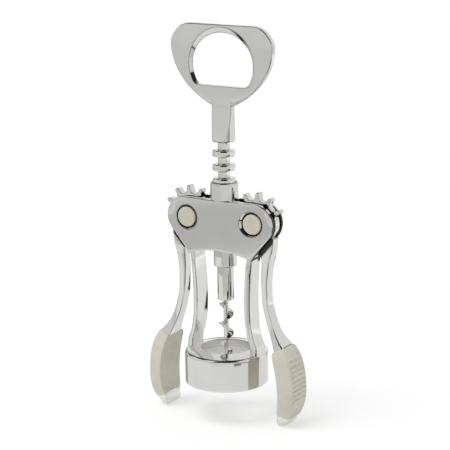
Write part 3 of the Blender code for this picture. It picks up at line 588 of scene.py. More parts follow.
EDGE_REACH = 0.7 * MM         # width of the edges and creases darkened as painted shade and painted dark reflection
# how dark the painted edge shade and painted dark reflection lines get
PAINTED_EDGE_SHADE_LEVEL = 0.30
EDGE_STARTS = 0.995           # cosine of the turn from which a spot counts as an edge
EDGE_FULL = 0.96
RIPPLE_HEIGHT = 0.1 * MM
HAZE_HEIGHT = 0.02 * MM
GRAIN_HEIGHT = 0.05 * MM
CHROME = plated("polished_plate", 0.74, 0.08, 0.05)
TURNED_CHROME = plated("turned_plate", 0.76, 0.03, 0.02)
# its base is lighter than the polished plate's: painted light that lifts the shade inside the bell
BORE = plated("bell_bore", 0.80, 0.45, 0.05)
# near-black plated finish for slots, recesses, bores, flanks and rebates: painted shade and painted dark
# reflection
PAINTED_SHADE_PLATE = plated("painted_shade_casting", 0.06, 0.35, 0.05)
STEEL = plated("bright_steel", 0.62, 0.16, 0.04)
CREAM = plastic("cream_grip", (0.60, 0.585, 0.48), 0.5, 0.25)
CREAM_CAP = plastic("cream_cap", (0.57, 0.545, 0.435), 0.35, 0.08)


# Bell ring and legs

def bell_ring():
    top = BELL_SHOULDER
    ledge = top - BELL_LEDGE + BELL_CROWN / 2
    points = [(BELL_BORE_RADIUS, top - BELL_LEDGE), (BELL_BORE_RADIUS, BELL_LIFT),
              (BELL_RADIUS, BELL_LIFT), (BELL_RADIUS, top), (BELL_HOLE_RADIUS, top + BELL_CROWN),
              (BELL_HOLE_RADIUS, ledge), (BELL_BORE_RADIUS, ledge)]
    edge = BELL_EDGE
    profile = eased_profile(points, (edge * 0.5, edge, BELL_BROW, edge * 0.6, edge * 0.4), 6)
    ring = add_object("bell", turned(profile, 160), CHROME, 50)
    # Faces inside the bell take the lighter bore finish: painted light against the shade in there.
    ring.data.materials.append(BORE)
    for face in ring.data.polygons:
        inside = Vector(face.center.xy).length < BELL_BORE_RADIUS
        face.material_index = int(inside and (face.center.z < top or face.normal.z < 0.5))
    dress(ring, "stand", "chrome", "bell_ring")


def leg_section(row, side):
    height_share, offset_share, thickness_share, depth_share = row
    height = BELL_SHOULDER + LEG_HEIGHT * height_share
    offset = offset_share * LEG_FOOT_OFFSET
    half = thickness_share * LEG_THICKNESS / 2
    depth = LEG_DEPTH / 2 * depth_share
    slope = LEG_SLOPE
    corners = [(-half, -depth), (half - slope, -depth), (half, -depth + slope),
               (half, depth - slope), (half - slope, depth), (-half, depth)]
    radii = [LEG_EDGE * 1.2] + [LEG_EDGE] * 4 + [LEG_EDGE * 1.2]
    return [(side * (offset + x), y, height) for x, y in rounded(corners, radii, 3)]


def legs():
    for side, hand in ((-1, "left"), (1, "right")):
        run = smooth_run(LEG_SHARES, 8)
        piece = add_object(hand + "_leg", loft([leg_section(row, side) for row in run]), CHROME, 50)
        dress(piece, "stand", "chrome", "frame", "bell_ring")


# Plates and collar

def plate_depth(x):
    """Distance of a plate's face from the middle plane, swelling gently towards the guide."""
    swell = (1 + math.cos(math.pi * x / (EAR_OFFSET + EAR_RADIUS))) / 2
    return EAR_DEPTH / 2 + (PLATE_DEPTH - EAR_DEPTH) / 2 * swell


def plate_edge_contacts():
    """Ends of the straight edge between the hollow over a leg and the rounding of an ear."""
    dx = FILLET_OFFSET - EAR_OFFSET
    dz = FILLET_HEIGHT - PIVOT_HEIGHT
    turn = math.acos((EAR_RADIUS + FILLET_RADIUS) / math.hypot(dx, dz))
    angle = math.atan2(dz, dx) + turn
    lead = Vector((math.cos(angle), math.sin(angle)))
    return (Vector((FILLET_OFFSET, FILLET_HEIGHT)) - lead * FILLET_RADIUS,
            Vector((EAR_OFFSET, PIVOT_HEIGHT)) + lead * EAR_RADIUS)


def plate_span(x):
    """Lower and upper edge of the plates at a distance from the axis."""
    ear = math.sqrt(max(EAR_RADIUS ** 2 - max(x - EAR_OFFSET, 0) ** 2, 0))
    start, stop = plate_edge_contacts()
    if x <= PLATE_FOOT_OFFSET:
        low = PLATE_FOOT + PLATE_ARCH * (1 - (x / PLATE_FOOT_OFFSET) ** 2)
    elif x < start.x:
        low = FILLET_HEIGHT + math.sqrt(FILLET_RADIUS ** 2 - (FILLET_OFFSET - x) ** 2)
    elif x < stop.x:
        low = start.y + (stop.y - start.y) * (x - start.x) / (stop.x - start.x)
    else:
        low = PIVOT_HEIGHT - ear
    return low, PIVOT_HEIGHT + ear


def edge_distance(x, z):
    """Distance of a point of the plate's face from the plate's outline."""
    low, high = plate_span(x)
    start, stop = plate_edge_contacts()
    if x > EAR_OFFSET and (z > PIVOT_HEIGHT or x > stop.x):
        return EAR_RADIUS - math.hypot(x - EAR_OFFSET, z - PIVOT_HEIGHT)
    if x <= PLATE_FOOT_OFFSET:
        below = z - low
    elif x < start.x:
        below = math.hypot(FILLET_OFFSET - x, z - FILLET_HEIGHT) - FILLET_RADIUS
    else:
        below = (z - low) * (stop - start).normalized().x
    return min(high - z, below)


def rim_inset(x, z):
    """How far the rounded rim falls back at a point of the plate's face."""
    short = PLATE_RIM - min(max(edge_distance(x, z), 0), PLATE_RIM)
    return PLATE_RIM - math.sqrt(PLATE_RIM ** 2 - short ** 2)


def plate_section(x, side):
    low, high = plate_span(x)
    band = min(1.6 * PLATE_RIM, 0.48 * (high - low))
    eases = [band * (1 - math.cos(math.radians(a))) for a in (0, 18, 36, 54, 72, 90)]
    inner, outer = low + band, high - band
    heights = [low + ease for ease in eases]
    heights += [inner + (outer - inner) * share for share in PLATE_ROW_SHARES]
    heights += [high - ease for ease in eases[::-1]]
    face = [(plate_depth(x) - rim_inset(x, z), z) for z in heights]
    return [(side * x, y, z) for y, z in face] + [(side * x, -y, z) for y, z in face[::-1]]


def plate_block():
    """Both plates as one solid, skinned along X from ear to ear."""
    start, stop = plate_edge_contacts()
    stations = [PLATE_FOOT_OFFSET * k / 16 for k in range(17)]
    stations += [PLATE_FOOT_OFFSET + (start.x - PLATE_FOOT_OFFSET) * k / 8 for k in range(1, 9)]
    stations += [start.x + (stop.x - start.x) * k / 6 for k in range(1, 7)]
    first = math.asin((stop.x - EAR_OFFSET) / EAR_RADIUS)
    for k in range(1, 32):
        angle = first + (math.pi / 2 - first) * k / 32
        stations.append(EAR_OFFSET + EAR_RADIUS * math.sin(angle))
    left = [plate_section(x, -1) for x in stations[:0:-1]]
    right = [plate_section(x, 1) for x in stations]
    return loft(left + right)


def slot_outline(side):
    pivot = (PIVOT_OFFSET, PIVOT_HEIGHT)
    top = COLLAR_MOUTH + OVERRUN
    far = PIVOT_OFFSET + SLOT_RADIUS + OVERRUN
    meet = math.degrees(math.acos((PIVOT_OFFSET - GUIDE_OFFSET) / SLOT_RADIUS))
    points = arc(pivot, SLOT_RADIUS, 180 - meet, 270, 48)
    points += [(PIVOT_OFFSET, PLATE_FOOT - OVERRUN), (far, PLATE_FOOT - OVERRUN), (far, top),
               (GUIDE_OFFSET, top)]
    return [(side * x, z) for x, z in points]


def round_cut(side, face, radius, floor, flare=0):
    """Cutter for a round recess about a pivot, down to a floor, or the flare at its mouth."""
    mouth = plate_depth(PIVOT_OFFSET)
    if flare:
        profile = [(0, mouth - flare), (radius, mouth - flare), (radius + 2 * flare, mouth + flare),
                   (radius + 2 * flare, mouth + OVERRUN), (0, mouth + OVERRUN)]
    else:
        profile = [(0, floor), (radius, floor), (radius, mouth + OVERRUN), (0, mouth + OVERRUN)]
    mesh = turned([(r, -face * h) for r, h in profile], 64)
    return along_y(mesh, (side * PIVOT_OFFSET, 0, PIVOT_HEIGHT))


def plates():
    block = add_object("plates", plate_block(), CHROME)
    radius = CAP_HIGH.x - PIVOT_OFFSET + CAP_GROOVE
    for side in (-1, 1):
        # The slots and the recesses' walls and floors take the near-black finish: painted shade.
        cut(block, "DIFFERENCE", prism(slot_outline(side), -SLOT_HALF, SLOT_HALF), PAINTED_SHADE_PLATE)
        for face in (-1, 1):
            cut(block, "DIFFERENCE", round_cut(side, face, radius, RECESS_FLOOR, RECESS_FLARE), CHROME)
            cut(block, "DIFFERENCE", round_cut(side, face, radius, RECESS_FLOOR), PAINTED_SHADE_PLATE)
    # The bore takes the near-black finish as well: painted shade.
    bore = turned([(0, PLATE_FOOT - OVERRUN), (GUIDE_RADIUS, PLATE_FOOT - OVERRUN),
                   (GUIDE_RADIUS, COLLAR_MOUTH), (0, COLLAR_MOUTH)], 80)
    cut(block, "DIFFERENCE", bore, PAINTED_SHADE_PLATE)
    # The plates' flanks beyond the feet are painted near black: painted shade and painted dark reflection
    # along the outline.
    dark = block.data.materials.find(PAINTED_SHADE_PLATE.name)
    for face in block.data.polygons:
        flank = abs(face.normal.y) < 0.5 and face.normal.z < 0.6
        if flank and abs(face.center.x) > PLATE_FOOT_OFFSET:
            face.material_index = dark
    dress(block, "stand", "chrome", "frame")
    low = PIVOT_HEIGHT - EAR_RADIUS / 2
    points = [(GUIDE_RADIUS, low), (COLLAR_RADIUS, low), (COLLAR_RADIUS, COLLAR_MOUTH),
              (GUIDE_RADIUS, COLLAR_MOUTH), (GUIDE_RADIUS, low)]
    profile = eased_profile(points, (0, COLLAR_EDGE, COLLAR_EDGE), 4)[:-1]
    collar = add_object("collar", turned(profile, 96), CHROME, 50)
    dress(collar, "stand", "chrome", "frame")


# Pivots

def caps():
    """Shallow domed caps of bare plastic over the pins, front and back."""
    radius = CAP_HIGH.x - PIVOT_OFFSET
    face = -CAP_LOW.y
    floor = -CAP_HIGH.y
    points = [(0, floor), (radius, floor), (radius, face), (radius * CAP_DOME_SHARE, face + CAP_DOME),
              (0, face + CAP_DOME)]
    profile = eased_profile(points, CAP_EDGES, 5)
    for side, hand in ((-1, "left"), (1, "right")):
        for toward, name in ((1, "front"), (-1, "back")):
            mesh = along_y(turned([(r, toward * h) for r, h in profile], 64),
                           (side * PIVOT_OFFSET, 0, PIVOT_HEIGHT))
            piece = add_object(f"{hand}_{name}_pin_cap", mesh, CREAM_CAP, 50)
            dress(piece, "stand", "cream_cap", f"{hand}_{name}_cap")


# Levers

def lever_point(reach_share, height_share):
    return Vector((PIVOT_OFFSET + REACH * reach_share, 0, PIVOT_HEIGHT * height_share))


def place_section(centre, heading, outline, side):
    """Put an outline of (outward, along Y) across a run. Outward is away from the axis."""
    outward = Vector((-heading.z, 0, heading.x))
    points = [centre + outward * u + Vector((0, v, 0)) for u, v in outline]
    return [(side * p.x, p.y, p.z) for p in points]


def strap(thickness, half_in, half_out, edge):
    """Rounded section with one width towards the axis and one away from it."""
    half = thickness / 2
    corners = [(-half, -half_in), (half, -half_out), (half, half_out), (-half, half_in)]
    return rounded(corners, [edge] * 4, 4)


def core_run(steps):
    centres = [lever_point(*row) for row in smooth_run(CORE_SHARES, steps)]
    return centres, headings(centres)


def lever_arm(side):
    """The arm from its root at the gear to a stub inside the grip."""
    rows = smooth_run(ARM_SHARES, 5)
    centres = [lever_point(*row[:2]) for row in rows]
    sections = []
    for centre, heading, row in zip(centres, headings(centres), rows):
        half_in = LEVER_THICKNESS / 2 * row[3]
        half_out = min(half_in, LEVER_THICKNESS / 2 * ARM_OUTER_SHARE)
        outline = strap(ARM_THICKNESS * row[2], half_in, half_out, ARM_EDGE * min(row[2], 1.4))
        sections.append(place_section(centre, heading, outline, side))
    inner, leads = core_run(6)
    stub = strap(ARM_THICKNESS, LEVER_THICKNESS, LEVER_THICKNESS, ARM_EDGE)
    sections.append(place_section(inner[0] + leads[0] * STUB, leads[0], stub, side))
    return loft(sections)


def rebate_outline(side):
    """Outline of the plates round an ear, grown by the rebate's reach."""
    start, stop = plate_edge_contacts()
    lead = Vector((stop.x - EAR_OFFSET, stop.y - PIVOT_HEIGHT)).normalized()
    turn = math.degrees(math.atan2(lead.y, lead.x))
    points = arc((FILLET_OFFSET, FILLET_HEIGHT), FILLET_RADIUS - REBATE_REACH, 180, 180 + turn, 12)
    points += arc((EAR_OFFSET, PIVOT_HEIGHT), EAR_RADIUS + REBATE_REACH, turn, 90, 24)
    points += [(0, points[-1][1]), (0, points[0][1])]
    return [(side * x, z) for x, z in points]


def lever_tip(side):
    """The bright end of a lever below its grip, rounded off to the flat that it stands on."""
    inner, leads = core_run(6)
    full = strap(TIP_THICKNESS, TIP_DEPTH / 2, TIP_OUTER_DEPTH / 2, TIP_EDGE)
    sections = [place_section(inner[-1] + leads[-1] * reach, leads[-1], full, side)
                for reach in (-STUB, FIT)]
    down = Vector((0, 0, -1))
    for height_share, reach_share, thickness_share, depth_share in smooth_run(TIP_SHARES, 3):
        outline = strap(TIP_THICKNESS * thickness_share, TIP_DEPTH / 2 * depth_share,
                        TIP_OUTER_DEPTH / 2 * depth_share, TIP_EDGE * thickness_share)
        centre = lever_point(reach_share, max(height_share, 0))
        sections.append(place_section(centre, down, outline, side))
    return loft(sections)


def gear_outline(side):
    """Disc with rounded teeth round its upper half, for the rack's rings."""
    first = math.pi - math.asin((RACK_PITCH / 2 - RACK_PHASE) / GEAR_PITCH_RADIUS) + TOOTH_STEP
    flank = [(height, width / 2) for height, width in TOOTH_SHARES]
    points = []
    for k in range(GEAR_TEETH):
        middle = first - k * TOOTH_STEP
        for height, half_share in flank + [(height, -half) for height, half in flank[::-1]]:
            radius = GEAR_ROOT_RADIUS + (GEAR_RADIUS - GEAR_ROOT_RADIUS) * height
            points.append(around(radius, middle + math.asin(TOOTH_WIDTH * half_share / radius)))
        if k < GEAR_TEETH - 1:
            points.append(around(GEAR_ROOT_RADIUS, middle - TOOTH_STEP / 2))
    start = math.atan2(points[-1][1], points[-1][0])
    stop = math.atan2(points[0][1], points[0][0])
    sweep = (start - stop) % math.tau
    steps = 40
    points += [around(GEAR_ROOT_RADIUS, start - sweep * k / steps) for k in range(1, steps)]
    return [(side * (PIVOT_OFFSET + x), PIVOT_HEIGHT + z) for x, z in points]


def hub(side):
    half = LEVER_THICKNESS / 2
    points = [(0, -half), (HUB_RADIUS, -half), (HUB_RADIUS, half), (0, half)]
    mesh = turned(eased_profile(points, (TOOTH_BEVEL, TOOTH_BEVEL), 4), 64)
    return along_y(mesh, (side * PIVOT_OFFSET, 0, PIVOT_HEIGHT))


def levers():
    half = GEAR_THICKNESS / 2
    for side, hand in ((-1, "left"), (1, "right")):
        wing, node = hand + "_wing", hand + "_lever"
        gear = add_object(hand + "_gear", prism(gear_outline(side), -half, half), CHROME)
        soften(gear, TOOTH_BEVEL)
        dress(gear, wing, "chrome", node)
        arm = add_object(hand + "_arm", lever_arm(side), CHROME, 50)
        # Faces cut for the rebate, where the arm runs between the plates, are painted near black: painted
        # shade between the parts.
        for face in (-1, 1):
            block = prism(rebate_outline(side), face * REBATE_HALF, face * (REBATE_HALF + OVERRUN))
            cut(arm, "DIFFERENCE", block, PAINTED_SHADE_PLATE)
        dress(arm, wing, "chrome", node)
        for name, mesh in (("hub", hub(side)), ("tip", lever_tip(side))):
            dress(add_object(f"{hand}_{name}", mesh, CHROME, 50), wing, "chrome", node)


# Grips

def grip_rows(steps):
    """Centre, heading, thickness and half widths of the grip's sections, from the top down."""
    centres, leads = core_run(6)
    picked = []
    for place, thickness_share, width_share in smooth_run(GRIP_SHARES, steps):
        at = place * (len(centres) - 1)
        low = min(int(at), len(centres) - 2)
        centre = centres[low].lerp(centres[low + 1], at - low)
        heading = leads[low].lerp(leads[low + 1], at - low).normalized()
        picked.append((centre, heading, GRIP_THICKNESS * thickness_share,
                       GRIP_WIDTH / 2 * width_share, GRIP_OUTER_WIDTH / 2 * width_share))
    return picked


def grip_outline(thickness, half_in, half_out, shrink=0):
    half = thickness / 2 - shrink
    wide_in = half_in - shrink
    wide_out = half_out - shrink
    edge = GRIP_EDGE
    corners = [(-half + GRIP_HOLLOW, 0), (-half, -wide_in), (half, -wide_out),
               (half + GRIP_BULGE, 0), (half, wide_out), (-half, wide_in)]
    radii = [GRIP_CROWN_REACH, edge, edge, GRIP_CROWN_REACH, edge, edge]
    return rounded(corners, radii, 5)


def grips():
    for side, hand in ((-1, "left"), (1, "right")):
        rows = grip_rows(6)
        sections = []
        ends = {0: GRIP_END, 1: GRIP_END * 0.3}
        for i, (centre, heading, thickness, half_in, half_out) in enumerate(rows):
            shrink = ends.get(min(i, len(rows) - 1 - i), 0)
            outline = grip_outline(thickness, half_in, half_out, shrink)
            sections.append(place_section(centre, heading, outline, side))
        body = add_object(hand + "_handle_grip", loft(sections), CREAM, 50)
        dress(body, hand + "_wing", "cream_plastic", hand + "_grip")
        ribs(rows, side, hand)


def ribs(rows, side, hand):
    """Rounded ridges across a grip's outer face."""
    steps = [(b[0] - a[0]).length for a, b in zip(rows, rows[1:])]
    start = RIB_START_SHARE * sum(steps)
    length = RIB_LENGTH_SHARE * GRIP_OUTER_WIDTH
    for k in range(RIB_COUNT):
        along = start + k * RIB_PITCH
        i = 0
        while i < len(steps) - 1 and along > steps[i]:
            along -= steps[i]
            i += 1
        t = along / steps[i]
        centre = rows[i][0].lerp(rows[i + 1][0], t)
        heading = rows[i][1].lerp(rows[i + 1][1], t).normalized()
        half = (rows[i][2] + (rows[i + 1][2] - rows[i][2]) * t) / 2
        outward = Vector((-heading.z, 0, heading.x))
        middle = centre + outward * (half + RIB_RISE)
        sections = []
        for m in range(-8, 9):
            share = math.sin(m / 8 * math.pi / 2)
            swell = max(math.sqrt(max(1 - abs(share) ** 6, 0)), RIB_END_SHARE)
            ring = []
            for n in range(16):
                angle = math.tau * n / 16
                spread = outward * math.cos(angle) * RIB_HEIGHT_SHARE + heading * math.sin(angle)
                point = middle + spread * RIB_RADIUS * RIB_SPREAD * swell
                ring.append((side * point.x, share * length / 2, point.z))
            sections.append(ring)
        piece = add_object(f"{hand}_grip_rib_{k + 1}", loft(sections), CREAM, 60)
        dress(piece, hand + "_wing", "cream_plastic", hand + "_grip")


# Rack, holder and worm

def rack():
    edge = RACK_TOOTH_EDGE
    half = RACK_TOOTH / 2
    shoe_top = PIVOT_HEIGHT - RACK_PHASE - 2 * RACK_PITCH + half
    bore = RACK_BORE
    points = [(bore, RACK_LOW.z), (RACK_RADIUS, RACK_LOW.z), (RACK_RADIUS, shoe_top),
              (RACK_ROOT_RADIUS, shoe_top)]
    radii = [edge / 2, edge / 2, edge / 5]
    for k in range(RACK_TEETH):
        middle = PIVOT_HEIGHT - RACK_PHASE + (k - 1) * RACK_PITCH
        points += [(RACK_ROOT_RADIUS, middle - half), (RACK_RADIUS, middle - half),
                   (RACK_RADIUS, middle + half), (RACK_ROOT_RADIUS, middle + half)]
        radii += [edge / 4, edge, edge, edge / 4]
    points += [(RACK_ROOT_RADIUS, RACK_HIGH.z), (bore, RACK_HIGH.z)]
    radii += [0]
    piece = add_object("toothed_rack", turned(eased_profile(points, radii, 5), 80), TURNED_CHROME, 50)
    dress(piece, "rack", "chrome", "rack_sleeve")


def holder():
    points = [(0, HOLDER_LOW.z), (HOLDER_RADIUS, HOLDER_LOW.z), (HOLDER_RADIUS, HOLDER_HIGH.z),
              (0, HOLDER_HIGH.z)]
    profile = eased_profile(points, (HOLDER_EDGE, HOLDER_EDGE / 2), 5)
    piece = add_object("worm_chuck", turned(profile, 80), TURNED_CHROME, 50)
    dress(piece, "screw", "chrome", "worm_holder")


def worm():
    start = HOLDER_LOW.z - FIT
    foot = WORM_LOW.z
    length = start - foot
    half_angle = math.pi * WORM_BLADE / WORM_PITCH
    steps = round(length / WORM_PITCH * 48)
    heights = [HOLDER_LOW.z + WORM_STUB] + [start - length * k / steps for k in range(steps + 1)]
    sections = []
    for height in heights:
        turn = math.tau * ((height - foot) / WORM_PITCH + WORM_TURN_SHARE)
        taper = min((height - foot) / WORM_POINT, 1)
        core = WORM_CORE_RADIUS * (0.1 + 0.9 * taper)
        grow = min(max((start - height) / (WORM_PITCH * WORM_START_SHARE), 0), 1)
        reach = (WORM_RADIUS - WORM_CORE_RADIUS) * grow * (0.02 + 0.98 * taper)
        ring = [(core + reach * out, turn + place * half_angle) for place, out in WORM_BLADE_SHARES]
        rest = math.tau - 2 * half_angle
        ring += [(core, turn + half_angle + rest * k / 12) for k in range(1, 12)]
        sections.append([(*around(r, a), height) for r, a in ring])
    piece = add_object("auger", loft(sections), TURNED_CHROME, 35)
    dress(piece, "screw", "steel", "worm")


# Bottle opener

def head_run():
    """Outline of the head, all the way round, with its inward directions."""
    half = HEAD_WIDTH / 2
    right = [Vector((half * x, HEAD_FOOT + HEAD_HEIGHT * z)) for x, z in smooth_run(HEAD_SHARES, 5)]
    foot = right[0].y
    right = [Vector((0, foot)), Vector((right[0].x / 2, foot))] + right
    right += [Vector((right[-1].x / 2, HEAD_FOOT + HEAD_HEIGHT)), Vector((0, HEAD_FOOT + HEAD_HEIGHT))]
    points = right + [Vector((-p.x, p.y)) for p in right[-2:0:-1]]
    inward = []
    for i, point in enumerate(points):
        along = (points[(i + 1) % len(points)] - points[i - 1]).normalized()
        inward.append(Vector((-along.y, along.x)))
    return points, inward


def hole_point(angle, draft, top_draft):
    """Point of the hole's wall at an angle: a circle that blends into the flat lip below."""
    radius = OPENER_RADIUS - draft
    lip = OPENER_CENTRE - OPENER_LIP_RISE
    down = -math.sin(angle)
    reach = radius
    if down > 0.05:
        blend = OPENER_BLEND
        far = lip / down
        reach = -blend * math.log(math.exp(-(radius - lip) / blend) + math.exp(-(far - lip) / blend)) + lip
    x = reach * math.cos(angle)
    z = reach * math.sin(angle)
    if z > 0:
        z -= (top_draft - draft) * z / radius
    return x, HEAD_FOOT + OPENER_CENTRE + z


def opener_head():
    points, inward = head_run()
    centre = HEAD_FOOT + OPENER_CENTRE
    half = HEAD_THICKNESS / 2
    edge = HEAD_EDGE
    sections = []
    for point, inside in zip(points, inward):
        angle = math.atan2(point.y - centre, point.x)
        front = []
        for a in (0, 22.5, 45, 67.5, 90):
            a = math.radians(a)
            place = point + inside * edge * (1 - math.sin(a))
            front.append((place.x, -half + edge * (1 - math.cos(a)), place.y))
        mouth = hole_point(angle, -LIP_EDGE, -LIP_EDGE)
        throat = hole_point(angle, 0, 0)
        waist = hole_point(angle, OPENER_DRAFT, OPENER_TOP_DRAFT)
        back = [(x, -y, z) for x, y, z in front[::-1]]
        wall = [(mouth[0], half, mouth[1]), (throat[0], half - LIP_EDGE, throat[1]),
                (waist[0], 0, waist[1]),
                (throat[0], -half + LIP_EDGE, throat[1]), (mouth[0], -half, mouth[1])]
        sections.append(front + back + wall)
    piece = add_object("opener_head", loft(sections, closed=True), CHROME, 40)
    cut(piece, "UNION", neck(), CHROME)
    apply_modifiers(piece, 18)
    dress(piece, "screw", "chrome", "opener_handle")


def neck_flat(height):
    """Distance of the neck's flats from the axis, easing into the head's faces."""
    share = (height - NECK_FOOT) / NECK_LENGTH
    face = HEAD_THICKNESS / 2 / RACK_RADIUS
    rows = smooth_run(NECK_FLAT_SHARES + (
        (0.95, face * 1.04), (1.00, face * 1.015), (1.05, face * 1.005), (1.16, face * 0.75)), 6)
    for low, high in zip(rows, rows[1:]):
        if share <= high[0] or high is rows[-1]:
            along = (share - low[0]) / (high[0] - low[0])
            return RACK_RADIUS * (low[1] + (high[1] - low[1]) * along)


def neck():
    """Round neck with a flat on either side that runs out into the head's faces."""
    top = HEAD_FOOT + RACK_RADIUS / 2
    rows = [(NECK_FOOT, RACK_RADIUS - NECK_EDGE)]
    for k in range(1, 5):
        a = math.pi / 2 * k / 4
        rows.append((NECK_FOOT + NECK_EDGE * (1 - math.cos(a)), RACK_RADIUS - NECK_EDGE * (1 - math.sin(a))))
    start = rows[-1][0]
    rows += [(start + (top - start) * (k / 32) ** 1.3, RACK_RADIUS) for k in range(1, 33)]
    sections = []
    for height, radius in rows:
        flat = min(neck_flat(height), radius * 0.985)
        corner = math.asin(flat / radius)
        ease = min(NECK_CREASE, radius * math.cos(corner) / 2)
        last = corner - ease / radius
        side = [Vector((math.cos(last * (k / 8 - 1)), math.sin(last * (k / 8 - 1)))) * radius
                for k in range(17)]
        tip = Vector((radius * math.cos(corner), flat))
        run_out = tip - Vector((ease, 0))
        crease = [side[-1] * (1 - t) ** 2 + tip * 2 * t * (1 - t) + run_out * t * t
                  for t in (0.25, 0.5, 0.75, 1.0)]
        across = [Vector((run_out.x * (1 - 2 * k / 6), flat)) for k in range(1, 6)]
        half = side + crease + across + [Vector((-p.x, p.y)) for p in crease[::-1]]
        sections.append([(turn * p.x, turn * p.y, height) for turn in (1, -1) for p in half])
    return loft(sections)


# Floor, light and camera

def emission(name, level):
    material = bpy.data.materials.new(name)
    material.use_nodes = True
    tree = material.node_tree
    tree.nodes.clear()
    glow = add_node(tree, "ShaderNodeEmission", Color=(1, 1, 1, 1), Strength=level)
    out = tree.nodes.new("ShaderNodeOutputMaterial")
    tree.links.new(glow.outputs[0], out.inputs["Surface"])
    return material


FLOOR_HALF = 12.0
FLOOR_LIFT_SHARE = 0.5        # how much of the floor's own white lightens the shadows on it
TENT_NEAR = (0.05, 0.85)      # where the floor's cards start, and their level there
TENT_STEP = 0.03              # widest band of the floor's cards, so that no reflection shows a step
TENT_RADIUS = 1.6
TENT_LIP = 0.55               # height at which the upper wall starts
TENT_HEIGHT = 1.5
TENT_FLOOR_GAP = 0.5 * MM
TENT_CROWN = 0.75             # radius of the dark middle of the ceiling
TENT_DARK = 0.02
TENT_PANELS = (               # azimuths in degrees, floor as (radius, level), lower and upper wall, ceiling
    (-200, -160, ((0.13, 0.85), (0.14, 0.02), (0.20, 0.02), (0.24, 0.80)), 0.95, 0.85, 0.80),
    (-160, -128, ((0.13, 0.85), (0.14, 0.02), (0.30, 0.03), (0.47, 0.50)), 0.95, 0.85, 0.80),
    (-128, -95, ((0.13, 0.85), (0.14, 0.02), (0.30, 0.03), (0.47, 0.50)), 0.80, 0.02, 0.02),
    (-95, -50, ((0.31, 0.85), (0.34, 0.57), (0.49, 0.55), (0.51, 0.85), (0.58, 0.70)), 0.72, 0.80, 0.02),
    (-50, -10, ((0.31, 0.90), (0.34, 0.57), (0.49, 0.55), (0.51, 0.85), (0.58, 0.68)), 0.72, 0.75, 0.80),
    (-10, 8, ((0.15, 0.85), (0.18, 0.62), (0.34, 0.57), (0.49, 0.55), (0.51, 0.85),
             (0.58, 0.72)), 0.80, 0.02, 0.02),
    (8, 50, ((0.15, 0.85), (0.18, 0.62), (0.34, 0.62), (0.49, 0.62), (0.51, 0.85),
             (0.58, 0.76)), 0.80, 0.02, 0.02),
    (50, 68, ((0.14, 0.85), (0.15, 0.02), (0.19, 0.02), (0.20, 0.66), (0.49, 0.66),
              (0.51, 0.85), (0.58, 0.76)), 0.80, 0.02, 0.02),
    (68, 98, ((0.16, 0.85), (0.17, 0.02), (0.34, 0.02), (0.42, 0.60), (0.50, 0.90),
              (0.64, 0.90), (0.66, 0.35), (0.82, 0.35), (0.86, 0.80)), 0.80, 0.85, 0.45),
    (98, 160, ((0.15, 0.92), (0.40, 0.92), (0.50, 1.15), (0.64, 1.10), (0.70, 0.84)), 0.84, 0.85, 0.80),
)
SUN_STRENGTH = 1.35
SUN_ANGLE = math.radians(35)
SUN_TOWARD = Vector((-0.30, -0.30, 1.0))
WORLD_STRENGTH = 0.64


def camera_ray(tree):
    """1 for rays that see a white background: straight, in a reflection or through glass."""
    path = tree.nodes.new("ShaderNodeLightPath")
    seen = path.outputs["Is Camera Ray"]
    for name in ("Is Glossy Ray", "Is Transmission Ray"):
        either = add_node(tree, "ShaderNodeMath", operation="MAXIMUM")
        tree.links.new(seen, either.inputs[0])
        tree.links.new(path.outputs[name], either.inputs[1])
        seen = either.outputs[0]
    return seen


def floor():
    mesh = bmesh.new()
    corners = [(-1, -1), (1, -1), (1, 1), (-1, 1)]
    mesh.faces.new([mesh.verts.new((x * FLOOR_HALF, y * FLOOR_HALF, 0)) for x, y in corners])
    material, tree, shader = shader_material("white_floor")
    shader.inputs["Base Color"].default_value = grey(1.0)
    shader.inputs["Roughness"].default_value = 0.9
    shader.inputs["Specular IOR Level"].default_value = 0.1
    share = add_node(tree, "ShaderNodeMath", operation="MULTIPLY")
    share.inputs[1].default_value = FLOOR_LIFT_SHARE
    tree.links.new(camera_ray(tree), share.inputs[0])
    white = add_node(tree, "ShaderNodeEmission", Color=(1, 1, 1, 1), Strength=1.0)
    lift = tree.nodes.new("ShaderNodeMixShader")
    tree.links.new(share.outputs[0], lift.inputs[0])
    tree.links.new(shader.outputs[0], lift.inputs[1])
    tree.links.new(white.outputs[0], lift.inputs[2])
    tree.links.new(lift.outputs[0], tree.nodes["Material Output"].inputs["Surface"])
    add_object("floor", mesh, material)


def card(name, faces, level):
    """A glowing card that only reflections see."""
    mesh = bmesh.new()
    for face in faces:
        mesh.faces.new([mesh.verts.new(point) for point in face])
    piece = add_object(name, mesh, emission(name + "_glow", level))
    piece.visible_camera = False
    piece.visible_diffuse = False
    piece.visible_shadow = False
    piece.visible_transmission = False


